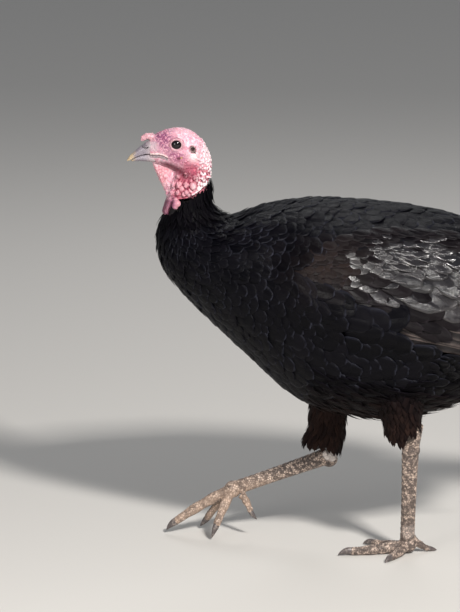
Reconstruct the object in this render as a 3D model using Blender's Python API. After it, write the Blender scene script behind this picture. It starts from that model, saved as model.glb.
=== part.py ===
# A black domestic turkey, life size, walking with its right foot put forward.
# It faces -X, its left side is at -Y and it stands on Z = 0. Lengths are in metres.
import math
import random

import bmesh
import bpy
from mathutils import Matrix, Vector

# Bill tip to tail tip. Every x below is a distance behind the bill tip, and every z a height above the floor.
LENGTH = 0.830
# Two nodes that touch keep this much air between them.
GAP = 0.0003

# The body's side outline and breadth, from under the head to the tail's root:
# back x, back z, breast x, breast z, half-breadth.
BODY = (
    (0.120, 0.520, 0.057, 0.518, 0.028),
    (0.123, 0.505, 0.050, 0.495, 0.033),
    (0.137, 0.493, 0.043, 0.467, 0.043),
    (0.151, 0.490, 0.043, 0.441, 0.054),
    (0.170, 0.495, 0.054, 0.410, 0.069),
    (0.194, 0.5045, 0.084, 0.374, 0.088),
    (0.227, 0.511, 0.1185, 0.340, 0.105),
    (0.267, 0.5145, 0.1695, 0.292, 0.122),
    (0.310, 0.5135, 0.239, 0.230, 0.132),
    (0.353, 0.5105, 0.306, 0.207, 0.135),
    (0.403, 0.5045, 0.381, 0.199, 0.130),
    (0.446, 0.496, 0.453, 0.215, 0.118),
    (0.489, 0.483, 0.517, 0.246, 0.097),
    (0.531, 0.466, 0.571, 0.295, 0.068),
    (0.567, 0.447, 0.600, 0.342, 0.040),
    (0.590, 0.418, 0.610, 0.378, 0.016),
)
NECK_END = 3
BODY_SIDES = 32
RINGS_PER_ROW = 2
# The surface that the folded wing lies on, from the shoulder to the wing's tips: columns as in BODY.
WING_FORM = (
    (0.151, 0.490, 0.043, 0.441, 0.050),
    (0.170, 0.495, 0.054, 0.410, 0.067),
    (0.194, 0.5045, 0.084, 0.374, 0.087),
    (0.227, 0.511, 0.1185, 0.340, 0.106),
    (0.267, 0.5145, 0.1695, 0.292, 0.124),
    (0.310, 0.5135, 0.239, 0.230, 0.135),
    (0.353, 0.5105, 0.306, 0.207, 0.139),
    (0.403, 0.506, 0.381, 0.199, 0.137),
    (0.446, 0.502, 0.446, 0.198, 0.131),
    (0.489, 0.496, 0.500, 0.194, 0.121),
    (0.531, 0.488, 0.555, 0.190, 0.106),
    (0.570, 0.478, 0.605, 0.185, 0.089),
    (0.605, 0.466, 0.650, 0.180, 0.074),
)
# The muscle of the folded arm, which the wing's feathers grow from: x, z, half-height, rise off the surface.
WING_PAD = (
    (0.214, 0.425, 0.010, 0.005),
    (0.232, 0.423, 0.034, 0.009),
    (0.262, 0.420, 0.049, 0.0115),
    (0.300, 0.418, 0.055, 0.0115),
    (0.340, 0.418, 0.055, 0.0095),
    (0.375, 0.426, 0.046, 0.0065),
    (0.400, 0.440, 0.030, 0.0040),
    (0.414, 0.450, 0.010, 0.0025),
)
# Rows of wing feathers from the innermost layer out: count, root and tip of the lowest feather,
# root and tip of the highest, width, rise off the surface, segments.
WING_ROWS = (
    (4, (0.326, 0.372), (0.568, 0.298), (0.346, 0.398), (0.553, 0.332), 0.027, 0.0015, 4),
    (5, (0.318, 0.388), (0.480, 0.333), (0.392, 0.447), (0.515, 0.402), 0.044, 0.0045, 4),
    (2, (0.374, 0.450), (0.522, 0.417), (0.380, 0.464), (0.520, 0.440), 0.034, 0.0075, 4),
    (5, (0.292, 0.385), (0.374, 0.346), (0.364, 0.464), (0.452, 0.424), 0.042, 0.0103, 3),
    (5, (0.260, 0.396), (0.328, 0.364), (0.322, 0.466), (0.396, 0.438), 0.037, 0.0132, 3),
)
# The tail's root, its slope below level, and the spread of its feathers to each side.
TAIL_ROOT = (0.566, 0.432)
TAIL_SLOPE = math.radians(25)
TAIL_SPREAD = math.radians(13)
TAIL_REACH = (LENGTH - TAIL_ROOT[0]) / math.cos(TAIL_SLOPE)
# Tail feathers and the coverts over them, on each side: count, reach, width, height of the topmost.
TAIL_ROWS = (
    (9, TAIL_REACH, 0.050, 0.0055),
    (3, TAIL_REACH * 0.46, 0.040, 0.0105),
    (2, TAIL_REACH * 0.27, 0.040, 0.0138),
)
TAIL_STACK = 0.0008
VANE_THICKNESS = 0.0005
# Where along a feather its sections lie, and its breadth there as a share of the whole.
VANE_SHAPES = {
    3: ((0.0, 0.45), (0.42, 1.0), (0.84, 0.86), (1.0, 0.34)),
    4: ((0.0, 0.40), (0.30, 0.92), (0.64, 1.0), (0.90, 0.78), (1.0, 0.30)),
}

# The skull and face: x, top z, bottom z, half-breadth.
SKULL = (
    (0.033, 0.6020, 0.5690, 0.0098),
    (0.042, 0.6090, 0.5655, 0.0135),
    (0.053, 0.6138, 0.5620, 0.0175),
    (0.063, 0.6164, 0.5575, 0.0203),
    (0.073, 0.6174, 0.5530, 0.0216),
    (0.084, 0.6157, 0.5490, 0.0216),
    (0.094, 0.6114, 0.5465, 0.0206),
    (0.103, 0.6035, 0.5460, 0.0187),
    (0.111, 0.5915, 0.5465, 0.0155),
    (0.1165, 0.5785, 0.5495, 0.0112),
    (0.1190, 0.5690, 0.5570, 0.0050),
)
# The bare neck under the skull: front x, front z, back x, back z, half-breadth.
BARE_NECK = (
    (0.072, 0.577, 0.110, 0.582, 0.0150),
    (0.066, 0.556, 0.1175, 0.557, 0.0180),
    (0.061, 0.538, 0.1160, 0.538, 0.0205),
    (0.057, 0.5183, 0.120, 0.5203, 0.0260),
)
# The dewlap, the loose fold from the chin to the neck: front x, back x, z, half-breadth.
DEWLAP = (
    (0.036, 0.072, 0.5670, 0.0050),
    (0.0385, 0.078, 0.5590, 0.0068),
    (0.0435, 0.082, 0.5480, 0.0080),
    (0.0490, 0.084, 0.5360, 0.0088),
    (0.0550, 0.086, 0.5250, 0.0085),
    (0.0585, 0.086, 0.5150, 0.0060),
)
# Each half of the bill: x, top z, bottom z, half-breadth.
UPPER_BILL = (
    (0.0000, 0.5712, 0.5690, 0.0009),
    (0.0040, 0.5775, 0.5702, 0.0032),
    (0.0100, 0.5830, 0.5740, 0.0052),
    (0.0180, 0.5900, 0.5775, 0.0072),
    (0.0260, 0.5960, 0.5795, 0.0088),
    (0.0340, 0.6010, 0.5800, 0.0103),
    (0.0400, 0.6030, 0.5800, 0.0112),
)
LOWER_BILL = (
    (0.0060, 0.5702, 0.5690, 0.0020),
    (0.0120, 0.5745, 0.5690, 0.0042),
    (0.0200, 0.5780, 0.5692, 0.0062),
    (0.0280, 0.5795, 0.5685, 0.0078),
    (0.0360, 0.5800, 0.5675, 0.0092),
    (0.0400, 0.5800, 0.5670, 0.0098),
)
# The snood's middle line, half-breadth and half-depth: x, z, breadth, depth.
SNOOD = (
    (0.0400, 0.6015, 0.0048, 0.0046),
    (0.0345, 0.6044, 0.0054, 0.0050),
    (0.0285, 0.6050, 0.0051, 0.0047),
    (0.0230, 0.6018, 0.0041, 0.0039),
    (0.0207, 0.5984, 0.0020, 0.0018),
)
EYE = (0.0703, 0.0136, 0.5960)
EYE_RADIUS = 0.0096
LID_RADIUS = 0.0082
LID_THICKNESS = 0.0015
EAR = (0.0935, 0.5895)
EAR_RADIUS = 0.0042
NOSTRIL = (0.0276, 0.5900)
GAPE = (0.0576, 0.5770)

# Legs: the hock and the foot joint of each, in x, y and z.
HOCK = {"left": (0.4035, -0.056, 0.165), "right": (0.2895, 0.072, 0.1205)}
FOOT = {"left": (0.4015, -0.020, 0.0122), "right": (0.150, 0.078, 0.0690)}
SHANK_SCUTES = 12
# Each feathered drumstick from the body to just above the hock: x, y, z, half-breadth, half-depth.
THIGHS = {
    "left": (
        (0.380, -0.062, 0.275, 0.042, 0.050),
        (0.386, -0.062, 0.235, 0.036, 0.036),
        (0.3905, -0.061, 0.200, 0.028, 0.0268),
        (0.3925, -0.059, 0.180, 0.0235, 0.0255),
        (0.3955, -0.0575, 0.166, 0.0185, 0.0205),
        (0.3985, -0.0565, 0.156, 0.012, 0.012),
    ),
    "right": (
        (0.303, 0.066, 0.265, 0.040, 0.050),
        (0.294, 0.068, 0.225, 0.034, 0.034),
        (0.2888, 0.070, 0.186, 0.028, 0.0278),
        (0.2872, 0.071, 0.163, 0.027, 0.0275),
        (0.2832, 0.0715, 0.148, 0.025, 0.0298),
        (0.2805, 0.072, 0.134, 0.022, 0.0292),
        (0.2860, 0.072, 0.119, 0.014, 0.0200),
    ),
}

# Toes: reach along the floor, yaw from straight ahead (outwards is positive), root radius, claw length.
TOES = {
    "middle": (0.083, 10.0, 0.0088, 0.020),
    "inner": (0.060, -36.0, 0.0077, 0.018),
    "outer": (0.052, 60.0, 0.0074, 0.016),
    "hind": (0.026, 196.0, 0.0058, 0.013),
}
# The toes of the lifted right foot, about to come down: the claw's root and tip of each, in x, y and z.
RIGHT_TOES = {
    "middle": ((0.0665, 0.0860, 0.0180), (0.0530, 0.0880, 0.0050)),
    "inner": ((0.1260, 0.0540, 0.0200), (0.1195, 0.0480, 0.0040)),
    "outer": ((0.1120, 0.1060, 0.0170), (0.1020, 0.1120, 0.0040)),
    "hind": ((0.1765, 0.0640, 0.0380), (0.1850, 0.0610, 0.0280)),
}

FEATHER_BLACK = (0.012, 0.013, 0.018)
WING_BLACK = (0.020, 0.019, 0.022)
TAIL_BLACK = (0.014, 0.014, 0.018)
HEAD_PINK = (0.74, 0.36, 0.40)
WATTLE_RED = (0.72, 0.20, 0.25)
HORN_GREY = (0.36, 0.32, 0.33)
SHANK_GREY = (0.34, 0.28, 0.24)
CLAW_GREY = (0.13, 0.12, 0.13)
EYE_BLACK = (0.006, 0.005, 0.006)


def at(x, y, z):
    """The point x behind the bill tip, in the model's own frame."""
    return Vector((x - LENGTH / 2, y, z))


def along(rows, place):
    """The row at a place along a table of rows, on a smooth curve through them."""
    last = len(rows) - 1
    place = min(max(place, 0.0), last)
    start = min(int(place), last - 1)
    t = place - start
    a, b, c, d = (rows[min(max(k, 0), last)] for k in range(start - 1, start + 3))
    return [
        0.5 * (2 * q + (r - p) * t + (2 * p - 5 * q + 4 * r - w) * t**2 + (3 * q - p - 3 * r + w) * t**3)
        for p, q, r, w in zip(a, b, c, d)
    ]


def steps(first, last, count):
    """count evenly spaced numbers, both ends included."""
    return [first + (last - first) * k / (count - 1) for k in range(count)]


def material(name, colour, roughness, metallic=0.0):
    """A Principled material, made once for each name."""
    made = bpy.data.materials.get(name)
    if made is None:
        made = bpy.data.materials.new(name)
        made.use_nodes = True
        shader = made.node_tree.nodes["Principled BSDF"]
        shader.inputs["Base Color"].default_value = (*colour, 1.0)
        shader.inputs["Roughness"].default_value = roughness
        shader.inputs["Metallic"].default_value = metallic
    return made


def object_of(name, mesh, finish=None):
    """A scene object from a bmesh, with its faces turned outwards."""
    bmesh.ops.recalc_face_normals(mesh, faces=mesh.faces)
    data = bpy.data.meshes.new(name)
    mesh.to_mesh(data)
    mesh.free()
    if finish:
        data.materials.append(finish)
    made = bpy.data.objects.new(name, data)
    bpy.context.scene.collection.objects.link(made)
    return made


def loft(name, rings, finish=None):
    """A closed body through rings of points, capped at each end, its two sides split into triangles alike."""
    mesh = bmesh.new()
    loops = [[mesh.verts.new(point) for point in ring] for ring in rings]
    for first, second in zip(loops, loops[1:]):
        for i in range(len(first)):
            j = (i + 1) % len(first)
            if first[i].co.y + first[j].co.y > 0:
                mesh.faces.new((first[i], first[j], second[j]))
                mesh.faces.new((first[i], second[j], second[i]))
            else:
                mesh.faces.new((first[i], first[j], second[i]))
                mesh.faces.new((first[j], second[j], second[i]))
    mesh.faces.new(loops[0])
    mesh.faces.new(loops[-1])
    return object_of(name, mesh, finish)


def tube(name, path, sizes, sides, across=(0, 1, 0), finish=None):
    """A body round a path. sizes holds the half-breadth and half-depth at each point of it."""
    rings = []
    for i, centre in enumerate(path):
        ahead = (path[min(i + 1, len(path) - 1)] - path[max(i - 1, 0)]).normalized()
        depth = ahead.cross(Vector(across)).normalized()
        breadth = depth.cross(ahead).normalized()
        ring = []
        for k in range(sides):
            turn = 2 * math.pi * k / sides
            point = centre + breadth * sizes[i][0] * math.cos(turn) + depth * sizes[i][1] * math.sin(turn)
            ring.append(Vector((point.x, point.y, max(point.z, 0.0))))
        rings.append(ring)
    return loft(name, rings, finish)


def ball(name, centre, radii, detail=2):
    """An ellipsoid of triangles: detail 1 has 20 faces and 2 has 80."""
    mesh = bmesh.new()
    bmesh.ops.create_icosphere(mesh, subdivisions=detail, radius=1.0)
    bmesh.ops.scale(mesh, vec=radii, verts=mesh.verts)
    bmesh.ops.translate(mesh, vec=centre, verts=mesh.verts)
    return object_of(name, mesh)


def apply_boolean(target, operation, cutters, solver="EXACT"):
    """Joins or cuts target with the cutters, then removes them."""
    group = bpy.data.collections.new("boolean")
    bpy.context.scene.collection.children.link(group)
    for cutter in cutters:
        for holder in list(cutter.users_collection):
            holder.objects.unlink(cutter)
        group.objects.link(cutter)
    change = target.modifiers.new(operation.lower(), "BOOLEAN")
    change.operation = operation
    change.operand_type = "COLLECTION"
    change.collection = group
    change.solver = solver
    bpy.context.view_layer.update()
    graph = bpy.context.evaluated_depsgraph_get()
    result = bpy.data.meshes.new_from_object(target.evaluated_get(graph))
    target.modifiers.clear()
    old = target.data
    target.data = result
    bpy.data.meshes.remove(old)
    for cutter in cutters:
        bpy.data.objects.remove(cutter)
    bpy.data.collections.remove(group)


def keep_largest(target):
    """Keeps a node's largest closed surface, so that no scrap of a union or cut stays."""
    mesh = bmesh.new()
    mesh.from_mesh(target.data)
    bmesh.ops.remove_doubles(mesh, verts=mesh.verts, dist=1e-6)
    islands = []
    left = set(mesh.faces)
    while left:
        island = {left.pop()}
        edge_of_island = list(island)
        while edge_of_island:
            face = edge_of_island.pop()
            for edge in face.edges:
                for other in edge.link_faces:
                    if other in left:
                        left.remove(other)
                        island.add(other)
                        edge_of_island.append(other)
        islands.append(island)
    islands.sort(key=lambda faces: sum(face.calc_area() for face in faces))
    for island in islands[:-1]:
        bmesh.ops.delete(mesh, geom=list(island), context="FACES")
    mesh.to_mesh(target.data)
    mesh.free()


def join(target, pieces):
    """Fuses the pieces into target, as one closed body."""
    apply_boolean(target, "UNION", pieces)
    keep_largest(target)
    return target


def grown(keeper, by):
    """A copy of a node, larger all round by a small distance."""
    copy = bpy.data.objects.new(keeper.name + "_grown", keeper.data.copy())
    bpy.context.scene.collection.objects.link(copy)
    mesh = bmesh.new()
    mesh.from_mesh(copy.data)
    bmesh.ops.remove_doubles(mesh, verts=mesh.verts, dist=1e-6)
    mesh.normal_update()
    offsets = [vertex.normal * by * min(vertex.calc_shell_factor(), 3.0) for vertex in mesh.verts]
    for vertex, offset in zip(mesh.verts, offsets):
        vertex.co += offset
    mesh.to_mesh(copy.data)
    mesh.free()
    return copy


def trim(target, *keepers):
    """Cuts target back from its neighbours, so that they meet face to face with the gap between."""
    for keeper in keepers:
        apply_boolean(target, "DIFFERENCE", [grown(keeper, GAP)])
    keep_largest(target)
    return target


def mirrored(source, name):
    """The other side's copy of a node, reflected in the body's middle plane."""
    mesh = bmesh.new()
    mesh.from_mesh(source.data)
    bmesh.ops.scale(mesh, vec=(1, -1, 1), verts=mesh.verts)
    return object_of(name, mesh, source.data.materials[0])


def section(form, row):
    """Centre, upward half-axis and half-breadth of a form at a row, as a number with a fraction."""
    back_x, back_z, breast_x, breast_z, breadth = along(form, row)
    back, breast = at(back_x, 0, back_z), at(breast_x, 0, breast_z)
    return (back + breast) / 2, (back - breast) / 2, breadth


def body_ring(row, shift=0.0):
    """A ring of points round the body, moved along the body by shift."""
    centre, up, breadth = section(BODY, row)
    ahead = Vector((0, 1, 0)).cross(up).normalized()
    side = Vector((0, breadth, 0))
    turns = [2 * math.pi * k / BODY_SIDES for k in range(BODY_SIDES)]
    return [centre + ahead * shift + side * math.cos(turn) + up * math.sin(turn) for turn in turns]


def make_neck():
    """The feathered neck, from under the bare skin to the shoulders."""
    rows = steps(0, NECK_END, NECK_END * RINGS_PER_ROW + 1)
    rings = [body_ring(row) for row in rows[:-1]] + [body_ring(NECK_END, -GAP)]
    return loft("neck", rings, material("neck_feather", FEATHER_BLACK, 0.5))


def make_torso():
    """The trunk with its coat of small feathers, from the shoulders to the tail's root."""
    last = len(BODY) - 1
    rows = steps(NECK_END, last, (last - NECK_END) * RINGS_PER_ROW + 1)
    return loft("torso", [body_ring(row) for row in rows], material("body_feather", FEATHER_BLACK, 0.42))


def side_ring(x, top, bottom, breadth, sides, dome=0):
    """An upright ring across the head or bill. dome 1 flattens its lower side, and -1 its upper side."""
    centre, half = (top + bottom) / 2, (top - bottom) / 2
    ring = []
    for k in range(sides):
        turn = 2 * math.pi * k / sides
        rise = math.sin(turn)
        if rise * dome < -1e-6:
            rise = -dome * (0.35 + 0.65 * abs(rise) ** 0.3)
        ring.append(at(x, breadth * math.cos(turn), centre + half * rise))
    return ring


def make_head(eyes):
    """The bare head: skull, lids, ear openings and the corners of the mouth."""
    skin = material("head_skin", HEAD_PINK, 0.55)
    places = steps(0, len(SKULL) - 1, 14)
    head = loft("head", [side_ring(*along(SKULL, place), 18) for place in places], skin)
    lids = []
    for side in (-1, 1):
        bpy.ops.mesh.primitive_torus_add(
            major_segments=12, minor_segments=5, major_radius=LID_RADIUS, minor_radius=LID_THICKNESS,
            location=at(EYE[0], side * 0.0202, EYE[2]), rotation=(math.pi / 2, 0, 0.12 * side),
        )
        lids.append(bpy.context.object)
        bpy.ops.mesh.primitive_torus_add(
            major_segments=8, minor_segments=4, major_radius=EAR_RADIUS, minor_radius=0.0011,
            location=at(EAR[0], side * 0.0203, EAR[1]), rotation=(math.pi / 2, 0, -0.18 * side),
        )
        lids.append(bpy.context.object)
    for piece in lids:
        bpy.ops.object.select_all(action="DESELECT")
        piece.select_set(True)
        bpy.context.view_layer.objects.active = piece
        bpy.ops.object.transform_apply(location=True, rotation=True, scale=True)
    join(head, lids)
    cutters = []
    for side in (-1, 1):
        cutters.append(ball("ear_pit", at(EAR[0], side * 0.0215, EAR[1]), (0.0034, 0.0055, 0.0040), 1))
        corner = at(GAPE[0] - 0.010, side * 0.018, GAPE[1] + 0.0006)
        cutters.append(ball("gape", corner, (0.0115, 0.0050, 0.0007), 1))
    apply_boolean(head, "DIFFERENCE", cutters)
    trim(head, *eyes)
    return head


def make_eyes():
    """Both eyeballs, set in the sides of the head."""
    finish = material("eye", EYE_BLACK, 0.05)
    eyes = []
    for name, side in (("eye_left", -1), ("eye_right", 1)):
        mesh = bmesh.new()
        bmesh.ops.create_uvsphere(mesh, u_segments=14, v_segments=8, radius=EYE_RADIUS)
        bmesh.ops.rotate(mesh, matrix=Matrix.Rotation(math.pi / 2, 3, "X"), verts=mesh.verts)
        bmesh.ops.translate(mesh, vec=at(EYE[0], side * EYE[1], EYE[2]), verts=mesh.verts)
        eye = object_of(name, mesh, finish)
        eyes.append(eye)
    return eyes


def make_bill(head):
    """The two horny halves of the bill, which meet along the mouth."""
    finish = material("bill_horn", HORN_GREY, 0.4)
    upper = loft("bill_upper", [side_ring(*row, 14, 1) for row in UPPER_BILL], finish)
    pits = []
    for side in (-1, 1):
        pits.append(ball("pit", at(NOSTRIL[0], side * 0.0088, NOSTRIL[1]), (0.0032, 0.0020, 0.0014), 1))
    apply_boolean(upper, "DIFFERENCE", pits)
    lower = loft("bill_lower", [side_ring(*row, 14, -1) for row in LOWER_BILL], finish)
    trim(upper, head)
    trim(lower, upper, head)
    return upper, lower


def make_snood(head, upper):
    """The fleshy finger over the bill's root, drawn up short."""
    path = [at(x, 0, z) for x, z, breadth, depth in SNOOD]
    sizes = [(breadth, depth) for x, z, breadth, depth in SNOOD]
    snood = tube("snood", path, sizes, 10, finish=material("wattle", WATTLE_RED, 0.5))
    return trim(snood, head, upper)


def caruncles(rng):
    """The bulbs on the bare neck: large in front, smaller round the sides and up the nape."""
    bulbs = [
        ball("lobe", at(0.0585, 0.0, 0.5060), (0.0055, 0.0060, 0.0090), 2),
        ball("bulb", at(0.0690, -0.0190, 0.5120), (0.0068, 0.0058, 0.0078), 1),
        ball("bulb", at(0.0690, 0.0190, 0.5120), (0.0068, 0.0058, 0.0078), 1),
    ]
    tiers = ((2.55, 6, 0.0052), (1.95, 6, 0.0047), (1.35, 5, 0.0042))
    for place, count, radius in tiers:
        front_x, front_z, back_x, back_z, breadth = along(BARE_NECK, place)
        for side in (-1, 1):
            for k in range(count):
                turn = math.pi * (0.20 + 0.74 * (k + 0.5 * (count % 2)) / count)
                share = (1 - math.cos(turn)) / 2
                x = front_x + (back_x - front_x) * share
                z = front_z + (back_z - front_z) * share + rng.uniform(-0.0015, 0.0015)
                y = side * breadth * math.sin(turn)
                size = radius * rng.uniform(0.85, 1.15) * (1.0 - 0.25 * share)
                bulbs.append(ball("bulb", at(x, y, z), (size, size, size * 1.1), 1))
    return bulbs


def make_throat(head, neck, lower):
    """The bare neck with the dewlap's fold in front and the caruncles round it."""
    rings = []
    for place in steps(0, len(BARE_NECK) - 1, 6):
        front_x, front_z, back_x, back_z, breadth = along(BARE_NECK, place)
        front, back = at(front_x, 0, front_z), at(back_x, 0, back_z)
        middle, half = (front + back) / 2, (back - front) / 2
        ring = []
        for k in range(18):
            turn = 2 * math.pi * k / 18
            ring.append(middle + half * math.cos(turn) + Vector((0, breadth * math.sin(turn), 0)))
        rings.append(ring)
    throat = loft("throat", rings, material("wattle", WATTLE_RED, 0.5))
    fold = []
    for front_x, back_x, z, breadth in DEWLAP:
        middle, half = (front_x + back_x) / 2, (back_x - front_x) / 2
        turns = [2 * math.pi * k / 12 for k in range(12)]
        fold.append([at(middle + half * math.cos(turn), breadth * math.sin(turn), z) for turn in turns])
    join(throat, [loft("fold", fold)] + caruncles(random.Random(7)))
    return trim(throat, head, neck, lower)


def make_thigh(side, torso):
    """The feathered drumstick, down to just above the hock."""
    path = [at(*row[:3]) for row in THIGHS[side]]
    sizes = [row[3:] for row in THIGHS[side]]
    thigh = tube("thigh_" + side, path, sizes, 16, finish=material("body_feather", FEATHER_BLACK, 0.42))
    return trim(thigh, torso)


def make_shank(side, thigh):
    """The bare scaly shank with plates down its front, from the hock to the ball of the foot."""
    hock, foot = at(*HOCK[side]), at(*FOOT[side])
    path, sizes = [], []
    for k in range(SHANK_SCUTES):
        for step, raise_by in ((0.06, 0.0009), (0.94, 0.0)):
            share = (k + step) / SHANK_SCUTES
            swell = 0.0024 * (1 - share) ** 2 + 0.0008 * share**6
            path.append(hock.lerp(foot, share))
            sizes.append((0.0084 + swell + raise_by / 2, 0.0100 + swell + raise_by))
    shank = tube("shank_" + side, path, sizes, 10, finish=material("leg_scale", SHANK_GREY, 0.6))
    pad = {"left": (0.0135, 0.0130, 0.0125), "right": (0.0125, 0.0125, 0.0125)}[side]
    ball_of_foot = ball("pad", foot, pad, 2)
    for vertex in ball_of_foot.data.vertices:
        vertex.co.z = max(vertex.co.z, 0.0)
    knuckle = ball("knuckle", hock + Vector((0.001, 0, -0.004)), (0.0125, 0.0110, 0.0125), 1)
    join(shank, [ball_of_foot, knuckle])
    return trim(shank, thigh)


def toe_path(side, toe):
    """A toe's line from the foot joint to the claw's root, and the claw's tip."""
    reach, yaw, radius, claw = TOES[toe]
    foot = at(*FOOT[side])
    if side == "left":
        if toe == "hind":
            foot += Vector((0.006, 0, 0.010))
        turn = math.radians(yaw)
        flat = Vector((-math.cos(turn), -math.sin(turn), 0))
        end = foot + flat * reach
        end.z = radius * 0.66
        tip = end + flat * claw * 0.93
        tip.z = 0.0012
        sag = -0.0047
    else:
        if toe == "hind":
            foot += Vector((0.013, -0.004, -0.008))
        end, tip = (at(*point) for point in RIGHT_TOES[toe])
        sag = 0.006
    middle = foot.lerp(end, 0.5) + Vector((0, 0, sag))
    path = []
    for share in steps(0.0, 1.0, 11):
        path.append(foot * (1 - share) ** 2 + middle * 2 * share * (1 - share) + end * share**2)
    return path, tip


def make_toe(side, toe, keepers):
    """One scaly toe with its row of plates and its claw. Returns its whole form before the cuts, too."""
    radius, claw = TOES[toe][2:]
    path, tip = toe_path(side, toe)
    sizes = []
    for k in range(len(path)):
        share = k / (len(path) - 1)
        thick = radius * (1.0 - 0.28 * share) + (0.0006 if k % 2 else 0.0)
        sizes.append((thick * 1.05, thick))
    piece = tube(f"toe_{toe}_{side}", path, sizes, 8, finish=material("leg_scale", SHANK_GREY, 0.6))
    whole = grown(piece, 0.0)
    trim(piece, *keepers)
    end, thick = path[-1], radius * 0.62
    ahead = (path[-1] - path[-2]).normalized()
    bend = end + ahead * claw * 0.45 + Vector((0, 0, claw * 0.10))
    line, claw_sizes = [], []
    for share in steps(0.0, 1.0, 5):
        line.append(end * (1 - share) ** 2 + bend * 2 * share * (1 - share) + tip * share**2)
        claw_sizes.append((thick * 0.80 * (1 - share) + 0.0007, thick * (1 - share) + 0.0007))
    line[0] = line[0] + ahead * GAP
    horn = tube(f"claw_{toe}_{side}", line, claw_sizes, 7, finish=material("claw", CLAW_GREY, 0.35))
    trim(horn, piece)
    return whole


def make_foot(side, shank):
    """The four toes of a foot, each cut clear of the foot and of its neighbours."""
    wholes = []
    for toe in TOES:
        wholes.append(make_toe(side, toe, [shank] + wholes))
    for whole in wholes:
        bpy.data.objects.remove(whole)


def wing_point(x, z, height=0.0):
    """A point of the left wing's surface seen at x and z from the side, raised outwards by height."""

    def surface(x, z):
        target = at(x, 0, z)
        low, high = 0.0, float(len(WING_FORM) - 1)
        for _ in range(30):
            row = (low + high) / 2
            centre, up, breadth = section(WING_FORM, row)
            offset = target - centre
            if up.x * offset.z - up.z * offset.x > 0:
                high = row
            else:
                low = row
        share = max(-0.97, min(0.97, offset.dot(up) / up.length_squared))
        return Vector((target.x, -breadth * math.sqrt(1 - share**2), z))

    step = 0.004
    along_x = surface(x + step, z) - surface(x - step, z)
    along_z = surface(x, z + step) - surface(x, z - step)
    return surface(x, z) + along_x.cross(along_z).normalized() * height


def vane(place, root, tip, width, rises, tilt, segments, across=(-1, 0, 1)):
    """A thin closed feather. place puts its flat outline, and its rise, on the surface that it lies on."""
    root, tip = Vector(root), Vector(tip)
    ahead = (tip - root).normalized()
    upwards = Vector((-ahead.y, ahead.x))
    mesh = bmesh.new()
    rings = []
    for share, breadth in VANE_SHAPES[segments]:
        middle = root.lerp(tip, share)
        lifted = min(share / 0.4, 1.0)
        rise = rises[0] + (rises[1] - rises[0]) * lifted * (2 - lifted)
        faces = ([], [])
        for edge in across:
            spot = middle + upwards * (edge * width * breadth / 2)
            height = rise - tilt * edge * breadth
            faces[0].append(mesh.verts.new(place(spot.x, spot.y, height + VANE_THICKNESS / 2)))
            faces[1].append(mesh.verts.new(place(spot.x, spot.y, height - VANE_THICKNESS / 2)))
        rings.append(faces)
    for (top_a, under_a), (top_b, under_b) in zip(rings, rings[1:]):
        for i in range(len(across) - 1):
            mesh.faces.new((top_a[i], top_a[i + 1], top_b[i + 1]))
            mesh.faces.new((top_a[i], top_b[i + 1], top_b[i]))
            mesh.faces.new((under_a[i], under_b[i + 1], under_a[i + 1]))
            mesh.faces.new((under_a[i], under_b[i], under_b[i + 1]))
        mesh.faces.new((top_a[-1], under_a[-1], under_b[-1], top_b[-1]))
        mesh.faces.new((under_a[0], top_a[0], top_b[0], under_b[0]))
    for top, under in (rings[0], rings[-1]):
        mesh.faces.new(top + under[::-1])
    return object_of("vane", mesh)


def make_wing(torso):
    """The folded left wing: the arm with its flight feathers and coverts in overlapping rows."""
    rings = []
    for place in steps(0, len(WING_PAD) - 1, 13):
        x, z, half, rise = along(WING_PAD, place)
        ring = []
        for k in range(14):
            turn = 2 * math.pi * k / 14
            outwards = math.sin(turn)
            height = (rise if outwards > 0 else 0.014) * outwards - 0.011 * math.cos(turn) ** 2
            ring.append(wing_point(x, z + half * math.cos(turn), height))
        rings.append(ring)
    wing = loft("wing_left", rings, material("wing_feather", WING_BLACK, 0.38))
    vanes = []
    for count, low_root, low_tip, high_root, high_tip, width, rise, segments in WING_ROWS:
        for share in steps(0.0, 1.0, count):
            root = Vector(low_root).lerp(Vector(high_root), share)
            tip = Vector(low_tip).lerp(Vector(high_tip), share)
            vanes.append(vane(wing_point, root, tip, width, (-0.0015 + rise * 0.2, rise), 0.0012, segments))
    join(wing, vanes)
    return trim(wing, torso)


def make_tail(torso):
    """The folded tail: a fleshy root with the tail feathers and their coverts fanned out from it."""
    root = at(TAIL_ROOT[0], 0, TAIL_ROOT[1])
    back = Vector((math.cos(TAIL_SLOPE), 0, -math.sin(TAIL_SLOPE)))
    over = Vector((math.sin(TAIL_SLOPE), 0, math.cos(TAIL_SLOPE)))

    def spot(reach, side, height):
        return root + back * reach + Vector((0, side, 0)) + over * height

    path = [root + back * reach - over * 0.003 for reach in (-0.045, -0.02, 0.0, 0.022, 0.044, 0.058)]
    sizes = ((0.024, 0.012), (0.033, 0.017), (0.036, 0.0175), (0.034, 0.014), (0.026, 0.009), (0.012, 0.004))
    tail = tube("tail", path, sizes, 16, finish=material("tail_feather", TAIL_BLACK, 0.38))
    vanes = []
    for count, reach, width, top in TAIL_ROWS:
        for pair in range(count):
            turn = TAIL_SPREAD * (pair + 0.5) / (count - 0.5)
            for side in (-1, 1):
                height = top - TAIL_STACK * (2 * pair + (side > 0))
                start = (0.004, side * 0.0022 * (pair + 0.5))
                end = (reach * math.cos(turn), side * reach * math.sin(turn))
                vanes.append(vane(spot, start, end, width, (height, height), 0.0, 3, (-1, 1)))
    join(tail, vanes)
    return trim(tail, torso)


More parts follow.
